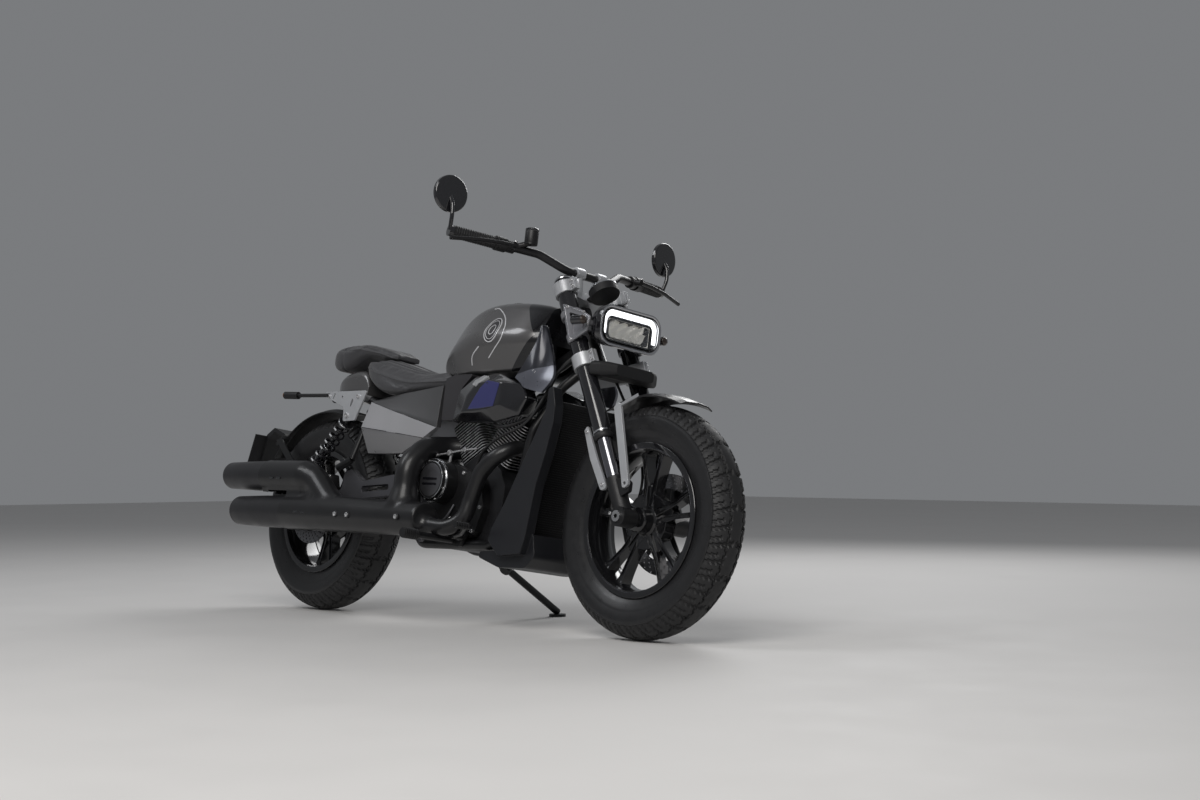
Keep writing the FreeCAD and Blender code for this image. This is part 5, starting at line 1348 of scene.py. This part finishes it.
class CRUISER_OT_paintwork(bpy.types.Operator):
    """Tank's lines, bare badge places and cap, panels' split lines and slots"""
    bl_idname = "cruiser.paintwork"
    bl_label = "Paintwork"

    def execute(self, context):
        nodes = frame["nodes"]
        tank, wing, cover, pod = (skin_of(nodes[name])
                                  for name in ("fuel_tank", "tank_side_panels", "side_covers", "air_pods"))
        for name, node, rows, coat, deep, across, angle in (
                ("side_cover_skin", "side_covers", COVER_ROWS, "panel_silver", 16, "straight", 24),
                ("wing_skin", "tank_side_panels", WING_ROWS, "panel_blue", 9, "curved", 60)):
            pair = [curved_panel(rows, side, deep, across) for side in SIDES]
            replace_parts(shaped(name, pair, coat, smooth=angle, slot=coat), node)
        data = remeshed(copied([nodes["air_pods"]]), 3.5, (("melt", 5),))
        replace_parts(add_piece("pod_skin", data, "pod_gloss", smooth=180, slot="gloss_black"), "air_pods")
        stripe = [(802, 928), (829, 926), (867, 905), (893, 883), (912, 852), (908, 822), (880, 796), (850, 771)]
        hook = [(810, 805), (772, 780), (765, 754)]
        pod_sky_reflection = [(914, 694), (940, 691), (972, 685), (963, 650), (954, 618), (900, 613), (842, 611), (866, 645),
                    (890, 675)]
        lines, dark, plates, rims, holes, ribs, faces = [], [], [], [], [], [], []

        def badge(radius, count):
            steps = [math.tau * k / 48 for k in range(count)]
            return [(861 + radius * math.cos(a), 853 + 1.23 * radius * math.sin(a)) for a in steps]
        for side in SIDES:
            lines += [ribbon(tank, stripe, side, 3.6, 0.9, 16), ribbon(tank, hook, side, 4.0, 0.9, 4)]
            plates.append(decal(tank, badge(30, 48), side, 1.0, 1.8))
            for radius, width in ((30, 3.6), (23.5, 2.2), (12, 2.4)):
                rims.append(ribbon(tank, badge(radius, 50), side, width, 2.6, 1))
            # indigo plates on the pods' front facets: a painted reflection of the sky
            faces.append(decal(pod, pod_sky_reflection, side, 0.8, 1.5))
            for route in ([(322, 650), (436, 621), (546, 594), (652, 568)],
                          [(280, 571), (382, 560), (488, 548), (590, 536)]):
                dark.append(ribbon(cover, route, side, 2.4, 0.5))
            dark.append(ribbon(cover, [(284, 566), (312, 532), (344, 494)], side, 2.2, 0.5))
            slot = oval(1060, 705, 1073, 722, 4.6)
            holes.append(decal(wing, slot, side, 0.5, 0.6))
            rims.append(ribbon(wing, slot + slot[:1], side, 1.6, 1.0, 1))
            for a, b in (((848, 684), (874, 712)), ((858, 681), (886, 710)), ((868, 678), (897, 708))):
                ribs.append(ribbon(pod, [a, ((a[0] + b[0]) / 2, (a[1] + b[1]) / 2), b], side, 4.2, 4.0, 3))
        shaped("pod_painted_reflections", faces, "pod_sky_reflection", smooth=20)
        shaped("pinstripes", lines, "pinstripe")
        shaped("split_lines", dark + holes, "glass_black")
        shaped("badge_places", plates, "trim_grey", smooth=30)
        shaped("badge_rims", rims, "pinstripe")
        shaped("pod_ribs", ribs, "cast_silver")
        cap = [(34.2, 946), (36.4, 947), (36.4, 952.5), (34.6, 954.5), (29, 955.2), (28.2, 953.4), (24, 953.8),
               (22.6, 956.3), (6, 957.4), (0.1, 957.4)]
        shaped("tank_cap", [lathe(cap, 64, TANK_CAP, "z", False)], "gloss_black", smooth=30)
        ring = lathe([(36.3, 947.5), (37.4, 948), (37.4, 951.4), (36.3, 952)], 64, TANK_CAP, "z")
        flap = prism([(838, 957), (852, 957), (850, 959.4), (840, 959.4)], -7, 7)
        shaped("tank_cap_trim", [ring, flap], "machined", smooth=35)
        bolts("tank_cap_screws", [(830 + 32 * math.cos(a), 32 * math.sin(a), 954.8, (0, 0, 1), 2.4, 1.6)
                                  for a in turns(6, 0.5)])
        return {"FINISHED"}


def barrel(way):
    """The front (1) or rear (-1) cylinder's own measure."""
    return Matrix.Translation(BARREL_FOOT) @ Matrix.Rotation(math.radians(30 * way), 4, "Y")


def fin_edges():
    """Machined edges round every cooling fin, outside the other cylinder's space."""
    shapes = []
    for way in SIDES:
        lean = barrel(way)
        loop = []
        for cx, cy, start in ((42, 52, 0), (-42, 52, 90), (-42, -52, 180), (42, -52, 270)):
            for k in range(6):
                a = math.radians(start + 18 * k)
                loop.append((cx, cy, math.cos(a), math.sin(a)))
        for k in range(16):
            z = 98 + 9 * k
            rows = [[lean @ Vector((x + c * r, y + d * r, z + h)) for x, y, c, d in loop]
                    for r, h in ((16.5, -0.15), (18.3, 0.3), (18.3, 2.7), (16.5, 3.15))]
            n = len(loop)
            clear = [(point.x - BARREL_FOOT[0]) * way > 0 for point in rows[1]]
            keep = [i for i in range(n) if clear[i] and clear[(i + 1) % n]]
            shapes.append((sum(rows, []), [[row * n + i, row * n + (i + 1) % n, (row + 1) * n + (i + 1) % n,
                                            (row + 1) * n + i] for i in keep for row in range(3)]))
    return shapes


class CRUISER_OT_engine(bpy.types.Operator):
    """Fins' bright edges, clutch and generator lids, case bolts, head caps"""
    bl_idname = "cruiser.engine"
    bl_label = "Engine trim"

    def execute(self, context):
        shaped("fin_edges", fin_edges(), "fin_metal", smooth=30)
        lid = [(0.1, -169.6), (30, -169.6), (46, -168.8), (50.5, -167.6), (51.5, -166), (51.5, -159)]
        shaped("clutch_lid", [lathe(lid, 72, CLUTCH, "y", False)], "cover_grey", smooth=30)
        rings = ([(51.6, -162), (51.6, -167.4), (54.4, -168.9), (56.8, -168.4), (56.8, -162)],
                 [(64.8, -152), (65.6, -153), (65.6, -158), (63.4, -160.6), (61.8, -160.4)])
        shaped("clutch_rings", [lathe(ring, 72, CLUTCH) for ring in rings], "machined", smooth=30)
        marks = [prism(oval(661, z, 722, z - 1, 3.4), -170.2, -168) for z in (409, 394)]
        shaped("clutch_slots", marks, "glass_black", smooth=30)
        right, left = (0, -1, 0), (0, 1, 0)
        places = screws(-112, right, 5.6, 5.0, (
            (640, 276), (700, 256), (776, 256), (844, 264), (868, 334), (850, 408), (778, 434), (706, 458), (636, 430),
            (735, 300), (771, 280), (818, 286)))
        places += screws(-160, right, 3.0, 2.6, circle(60.4, 8, CLUTCH[0], CLUTCH[2], math.tau / 16))
        places += screws(114, left, 5.6, 5.0, (
            (738, 308), (828, 276), (896, 326), (888, 430), (812, 456), (736, 428)))
        places += screws(150, left, 4.4, 4.0, circle(52, 6, GENERATOR[0], GENERATOR[2]))
        bolts("case_bolts", places)
        cap = [(0.1, 153), (24, 153), (38, 151.6), (41, 150.6), (41.5, 149)]
        shaped("generator_cap", [lathe(cap, 60, GENERATOR, "y", False)], "cover_grey", smooth=30)
        rings = ([(61.8, 140), (62.8, 141), (62.8, 147), (60.8, 150.4), (59, 150.2)],
                 [(41.6, 149), (43.6, 149), (43.6, 151.4), (42, 152)])
        shaped("generator_rings", [lathe(ring, 60, GENERATOR) for ring in rings], "machined", smooth=30)
        low = [block(668, 704, -138, -116, 268, 294), block(740, 760, -136, -124, 232, 262),
               tube([(640, -128, 236), (700, -134, 246), (742, -134, 252), (770, -138, 262)], 5.0, 12, 4),
               lathe([(2, -141), (12, -140), (12, -130), (2, -129)], 24, (640, 0, 236)),
               tube([(704, -127, 284), (724, -127, 292), (744, -124, 314), (752, -116, 340)], 3.4, 12, 4)]
        shaped("pedal_gear", low, "arm_grey", smooth=35, bevel=0.8)
        rod = [tube([(622, -126, 482), (700, -127, 489), (770, -127, 498), (838, -124, 504)], 3.2, 12, 4)]
        rod += [lathe([(2, -133), (r, -132), (r, -121), (2, -120)], 20, (x, 0, z))
                for x, z, r in ((628, 482.5, 8), (659, 485.4, 6), (719, 491.5, 8.5), (791, 500.4, 7))]
        rod.append(tube([(719, -122, 491), (716, -122, 462), (706, -116, 440)], 4.2, 12, 4))
        rod.append(tube([(628, -122, 482), (632, -120, 460), (640, -112, 440)], 4.2, 12, 4))
        shaped("link_rod", rod, "bolt_steel")
        ribs = [prism(oval(742, z - 8, 806, z - 14, 2.6), -114.4, -111) for z in (300, 318, 336)]
        ribs += [prism(oval(650 + 18 * k, 232 + 5 * k, 650 + 18 * k, 262 + 4 * k, 3.0), -86.6, -83) for k in range(4)]
        shaped("case_ribs", ribs, "cast_black")
        plug = turned([(0.1, 12), (7.5, 12), (8.5, 10), (8.5, 0), (10.5, -1), (10.5, -9)], 24)
        caps = [moved(placed(plug, (way * 22, side * 58, 252), (0, side, 0.4)), barrel(way))
                for way in SIDES for side in SIDES]
        shaped("plug_caps", caps, "gloss_black", smooth=35)
        return {"FINISHED"}


class CRUISER_OT_fork_trim(bpy.types.Operator):
    """Seal rings, clamp bolts, leg caps, stays' and caliper's bolts"""
    bl_idname = "cruiser.fork_trim"
    bl_label = "Fork trim"

    def execute(self, context):
        seals, bright, hexes, places = [], [], [], []
        seal = [(21.2, 239), (24, 238.5), (27.0, 242), (27.4, 250), (26.2, 254), (25.8, 254)]
        rings = ([(26.1, 258), (27.0, 258.4), (27.0, 262.6), (26.1, 263)],
                 [(19.4, 762), (24.8, 757), (25.4, 760), (21.0, 765.6), (19.4, 765.6)])
        for side in SIDES:
            leg, out = (0, side * 100, 0), (0, side, 0)
            seals.append(lathe(seal, 48, leg, "z"))
            bright += [lathe(ring, 48, leg, "z") for ring in rings]
            hexes.append(loft([[(x * share, leg[1] + w * share, z) for x, w in circle(14, 6)]
                               for share, z in ((1, 764), (0.93, 771))]))
            for x, rows in ((40, (475, 495)), (39, (718, 736))):
                places += screws(side * 109, out, 5.4, 5.5, [(x, z) for z in rows])
            places += screws(side * 125, out, 5.2, 4, ((-27, 110), (-32, 276)))
            places += screws(side * 126, out, 4.6, 4, ((-22, 20),))
        places += screws(84, (0, 1, 0), 6, 5, ((-136, 16), (-108, 78)))
        shaped("fork_seals", seals, "grip_rubber", "fork", LEGS)
        shaped("fork_rings", bright, "machined", "fork", LEGS)
        shaped("fork_caps", hexes, "bolt_steel", "fork", LEGS, smooth=20, bevel=0.6)
        bolts("fork_bolts", places, "fork", LEGS)
        pot = [(0.1, 86.4), (11, 86.4), (13.4, 85.6), (14.6, 84), (14.6, 80)]
        pots = [lathe(pot, 36, centre, "y", False) for centre in ((-128, 0, 34), (-116, 0, 62))]
        shaped("front_caliper_pots", pots, "cover_grey", "fork", LEGS, smooth=35)
        nut = lathe([(0.1, 756), (9, 756), (15, 755.4), (16.6, 753.8), (16.8, 750)], 40, (-50, 0, 0), "z", False)
        shaped("steering_nut", [nut], "machined", "fork", LEGS, smooth=35)
        return {"FINISHED"}


class CRUISER_OT_controls(bpy.types.Operator):
    """Grip ribs, mirror glass, reservoir lid, switches and the instrument's face"""
    bl_idname = "cruiser.controls"
    bl_label = "Controls"

    def execute(self, context):
        ribs, glass, shells, knobs, ends = [], [], [], [], []
        up = (0, 0, 1)
        for side in SIDES:
            root, tip = Vector((1026, side * 232, 1064)), Vector((968, side * 416, 1075))
            ribs += [ring_on_line(root, tip, 0.325 + 0.038 * k, 18.0, 16.6, 3.6) for k in range(17)]
            turn = math.radians(7)
            out = Vector((math.cos(turn), side * math.sin(turn), 0))
            mirror = Vector((962, side * 428, 1180)) - out * 6.5
            disc = turned([(0.1, 0.7), (48.5, 0.7), (49.3, 0.2), (49.3, -1)], 64)
            glass.append(placed(disc, mirror, -out))
            rim = turned([(49.4, 0.2), (50.6, 1.3), (52.6, 1.0), (53.0, -0.6), (53.0, -3)], 64)
            shells.append(placed(rim, mirror, -out))
            push = (-0.92, 0, 0.38)
            for share, size in ((0.17, 4.6), (0.23, 3.6)):
                spot = root.lerp(tip, share) + Vector(push).normalized() * 20.6
                knobs.append(placed(turned([(0.1, 3), (size - 1, 3), (size, 2), (size, -2)], 16), spot, push))
            ends.append((1058, side * 252, 1073, up, 5, 4))
            for share in (0.04, 0.08):
                ends.append((*(root.lerp(tip, share) + Vector((-17.6, 0, 0))), (-1, 0, 0), 3.4, 2.6))
        shaped("grip_ribs", ribs, "grip_rubber", "fork")
        shaped("mirror_glass", glass, "mirror", "fork")
        shaped("mirror_rims", shells, "trim_black", "fork")
        shaped("switch_knobs", knobs, "cover_grey", "fork")
        pot = (1062, -200, 0)
        lid = lathe([(0.1, 1124.4), (15, 1124.4), (18.6, 1123), (19.8, 1121.5), (19.8, 1117), (19.1, 1116)], 48,
                    pot, "z", False)
        body = lathe([(19.1, 1080), (19.4, 1081), (19.4, 1115), (19.1, 1116)], 48, pot, "z", False)
        shaped("reservoir_lid", [lid], "gloss_black", "fork", smooth=35)
        shaped("reservoir_body", [body], "cast_black", "fork", smooth=35)
        ends += [(x, pot[1], 1124.2, up, 2.4, 1.4) for x in (1050, 1074)]
        bolts("control_screws", ends, "fork")
        axis = Vector((-0.55, 0, 0.83)).normalized()
        spot = Vector((1180, 0, 962)) + axis * 26
        for name, profile, look in (
                ("instrument_glass", [(0.1, 1.4), (30, 1.2), (37.6, 0.4), (38, -1)], "glass_black"),
                ("instrument_rim", [(38.1, -0.5), (38.6, 1.6), (41.6, 1.8), (43.3, 0.2), (43.4, -3)],
                 "machined")):
            shaped(name, [placed(turned(profile, 64), spot, axis)], look, "fork")
        return {"FINISHED"}


class CRUISER_OT_chassis_trim(bpy.types.Operator):
    """Radiator core, peg rubbers, bracket and arm bolts, shock and caliper details"""
    bl_idname = "cruiser.chassis_trim"
    bl_label = "Chassis trim"

    def execute(self, context):
        front = ((258, 1092), (396, 1112), (560, 1150), (640, 1160))
        fins = []
        z = 272.0
        while z < 628:
            x = between(front, z)[0]
            fins.append(block(x - 1.0, x + 1.8, -106, 106, z, z + 1.7))
            z += 6.4
        line = [(between(front, z)[0] - 0.4, z) for z in range(270, 631, 40)]
        for k in range(53):
            y = -104 + 4.0 * k
            verts = [(x, w, z) for x, z in line for w in (y - 0.35, y + 0.35)]
            fins.append((verts, [[2 * i, 2 * i + 1, 2 * i + 3, 2 * i + 2] for i in range(len(line) - 1)]))
        shaped("radiator_fins", fins, "fin_black", smooth=30)
        rubbers, places, axle, caps = [], [], [], []
        heads = ((150, 6.5, 5, ((98, 672), (256, 668))), (150, 9, 5, ((206, 608),)), (145, 8, 6, ((-26, 392),)),
                 (128, 13, 6, ((500, 400),)), (130, 5.4, 5, ((724, 240), (742, 262), (812, 240), (806, 276))),
                 (128, 5, 4, ((-40, 332), (28, 336))))
        grooved = ((PEG, 268, 7.4, 7, 13.4, 15.6, 2.4, 28), (BRAKE_LEVER, 214, 9, 5, 8.6, 10.4, 2.6, 24))
        for side in SIDES:
            way = (0, side, 0)
            for centre, start, pitch, count, r0, r1, half, sides in grooved:
                for k in range(count):
                    y = side * (start + pitch * k)
                    profile = [(r0, y - half), (r1, y - half + 0.8), (r1, y + half - 0.8), (r0, y + half)]
                    rubbers.append(lathe(profile, sides, centre))
            for y, r, height, spots in heads:
                places += screws(side * y, way, r, height, spots)
            nut, hole = (circle(r, 6, 0, REAR_AXLE[2], 0.3) for r in (16.6, 8.2))
            axle.append(ring_between(nut, hole, side * 131, side * 138.6))
            axle.append(prism(oval(-46, 322, -58, 322, 4.2, 4), side * 112, side * 120))
            foot, top = Vector((-26, side * 132, 392)), Vector((206, side * 132, 608))
            span = (top - foot).length
            for at, r, w in ((37, 24.6, 3.0), (span - 35, 24.8, 5.0), (0.55 * span, 15.4, 3.0)):
                caps.append(ring_on_line(foot, top, at / span, r, 13.0, w))
        places += screws(103.7, (0, 1, 0), 4.6, 3.6, ((66, 414), (380, 444)))
        places += screws(-104, (0, -1, 0), 6, 5, ((72, 386), (94, 420)))
        shaped("peg_rubbers", rubbers, "grip_rubber")
        bolts("chassis_bolts", places)
        shaped("axle_nuts", axle, "bolt_steel", smooth=25)
        shaped("shock_collars", caps, "machined")
        return {"FINISHED"}


# the photograph's camera: where it stands, which way and how far up it looks
CAMERA_PLACE, CAMERA_TURN, CAMERA_PITCH = (5.136, -3.598, 0.4934), 46.76, 1.71
FLOOR_HALF = 14


class CRUISER_OT_stage(bpy.types.Operator):
    """Pale floor and backdrop, soft lamps and the photograph's camera"""
    bl_idname = "cruiser.stage"
    bl_label = "Studio"

    def execute(self, context):
        look = context.scene.cruiser_stage
        scene = context.scene
        scene.view_settings.view_transform = "Standard"
        f = Finish("Studio floor")
        f.shade(tuple(look.floor), 0.03, 1.5)
        f.gloss(0.6, 0.75, 3.0)
        data = bpy.data.meshes.new("studio_floor")
        corners = ((-1, -1), (1, -1), (1, 1), (-1, 1))
        data.from_pydata([(x * FLOOR_HALF, y * FLOOR_HALF, 0) for x, y in corners], [], [[0, 1, 2, 3]])
        data.materials.append(f.material)
        linked("studio_floor", data)
        world = bpy.data.worlds.new("Studio")
        world.use_nodes = True
        sky = world.node_tree.nodes["Background"].inputs
        sky["Color"].default_value = (0.72, 0.74, 0.77, 1)
        sky["Strength"].default_value = 0.27
        scene.world = world
        for name, place, target, size, power, color in (
                ("key", (2.6, -3.4, 3.4), (0.0, 0.0, 0.5), 2.6, look.key, (1.0, 0.98, 0.95)),
                ("fill", (-2.4, -3.0, 4.6), (0.0, 0.0, 0.5), 2.2, look.key * 0.5, (0.95, 0.97, 1.0)),
                ("rim", (-1.2, 3.6, 3.2), (0.0, 0.0, 0.6), 2.4, look.key * 0.6, (1.0, 1.0, 1.0))):
            lamp = bpy.data.lights.new(name, "AREA")
            lamp.shape = "SQUARE"
            lamp.size = size
            lamp.energy = power
            lamp.color = color
            held = linked(name, lamp)
            held.location = place
            held.rotation_euler = (Vector(target) - Vector(place)).to_track_quat("-Z", "Y").to_euler()
        turn, pitch = math.radians(CAMERA_TURN), math.radians(CAMERA_PITCH)
        along = Vector((-math.sin(turn) * math.cos(pitch), math.cos(turn) * math.cos(pitch), math.sin(pitch)))
        eye = bpy.data.cameras.new("photo_view")
        eye.lens = look.lens
        eye.sensor_width = 36
        held = linked("photo_view", eye)
        ground = MACHINE.translation
        held.location = (CAMERA_PLACE[0] + ground.x, CAMERA_PLACE[1] + ground.y, CAMERA_PLACE[2])
        held.rotation_euler = along.to_track_quat("-Z", "Y").to_euler()
        scene.camera = held
        return {"FINISHED"}


OPERATORS = (CRUISER_OT_finishes, CRUISER_OT_tyres, CRUISER_OT_wheels, CRUISER_OT_chain, CRUISER_OT_seats,
             CRUISER_OT_exhaust, CRUISER_OT_lamps, CRUISER_OT_paintwork, CRUISER_OT_engine, CRUISER_OT_fork_trim,
             CRUISER_OT_controls, CRUISER_OT_chassis_trim, CRUISER_OT_stage)


class CRUISER_PT_panel(bpy.types.Panel):
    """Lists the machine's pieces and settings"""
    bl_idname = "CRUISER_PT_panel"
    bl_label = "Cruiser"
    bl_space_type = "VIEW_3D"
    bl_region_type = "UI"
    bl_category = "Cruiser"

    def draw(self, context):
        for group in (context.scene.cruiser_colors, context.scene.cruiser_tyres, context.scene.cruiser_stage):
            box = self.layout.box()
            for key in group.__annotations__:
                box.prop(group, key)
        for operator in OPERATORS:
            self.layout.operator(operator.bl_idname)


GROUPS = (("cruiser_colors", CruiserColors), ("cruiser_tyres", CruiserTyres), ("cruiser_stage", CruiserStage))


def register():
    for key, group in GROUPS:
        bpy.utils.register_class(group)
        setattr(bpy.types.Scene, key, PointerProperty(type=group))
    for made in (*OPERATORS, CRUISER_PT_panel):
        bpy.utils.register_class(made)


def unregister():
    for made in (CRUISER_PT_panel, *reversed(OPERATORS)):
        bpy.utils.unregister_class(made)
    for key, group in reversed(GROUPS):
        delattr(bpy.types.Scene, key)
        bpy.utils.unregister_class(group)


def main():
    register()
    for operator in OPERATORS:
        group, name = operator.bl_idname.split(".")
        getattr(getattr(bpy.ops, group), name)()
    bpy.context.view_layer.update()


if __name__ == "__main__":
    main()
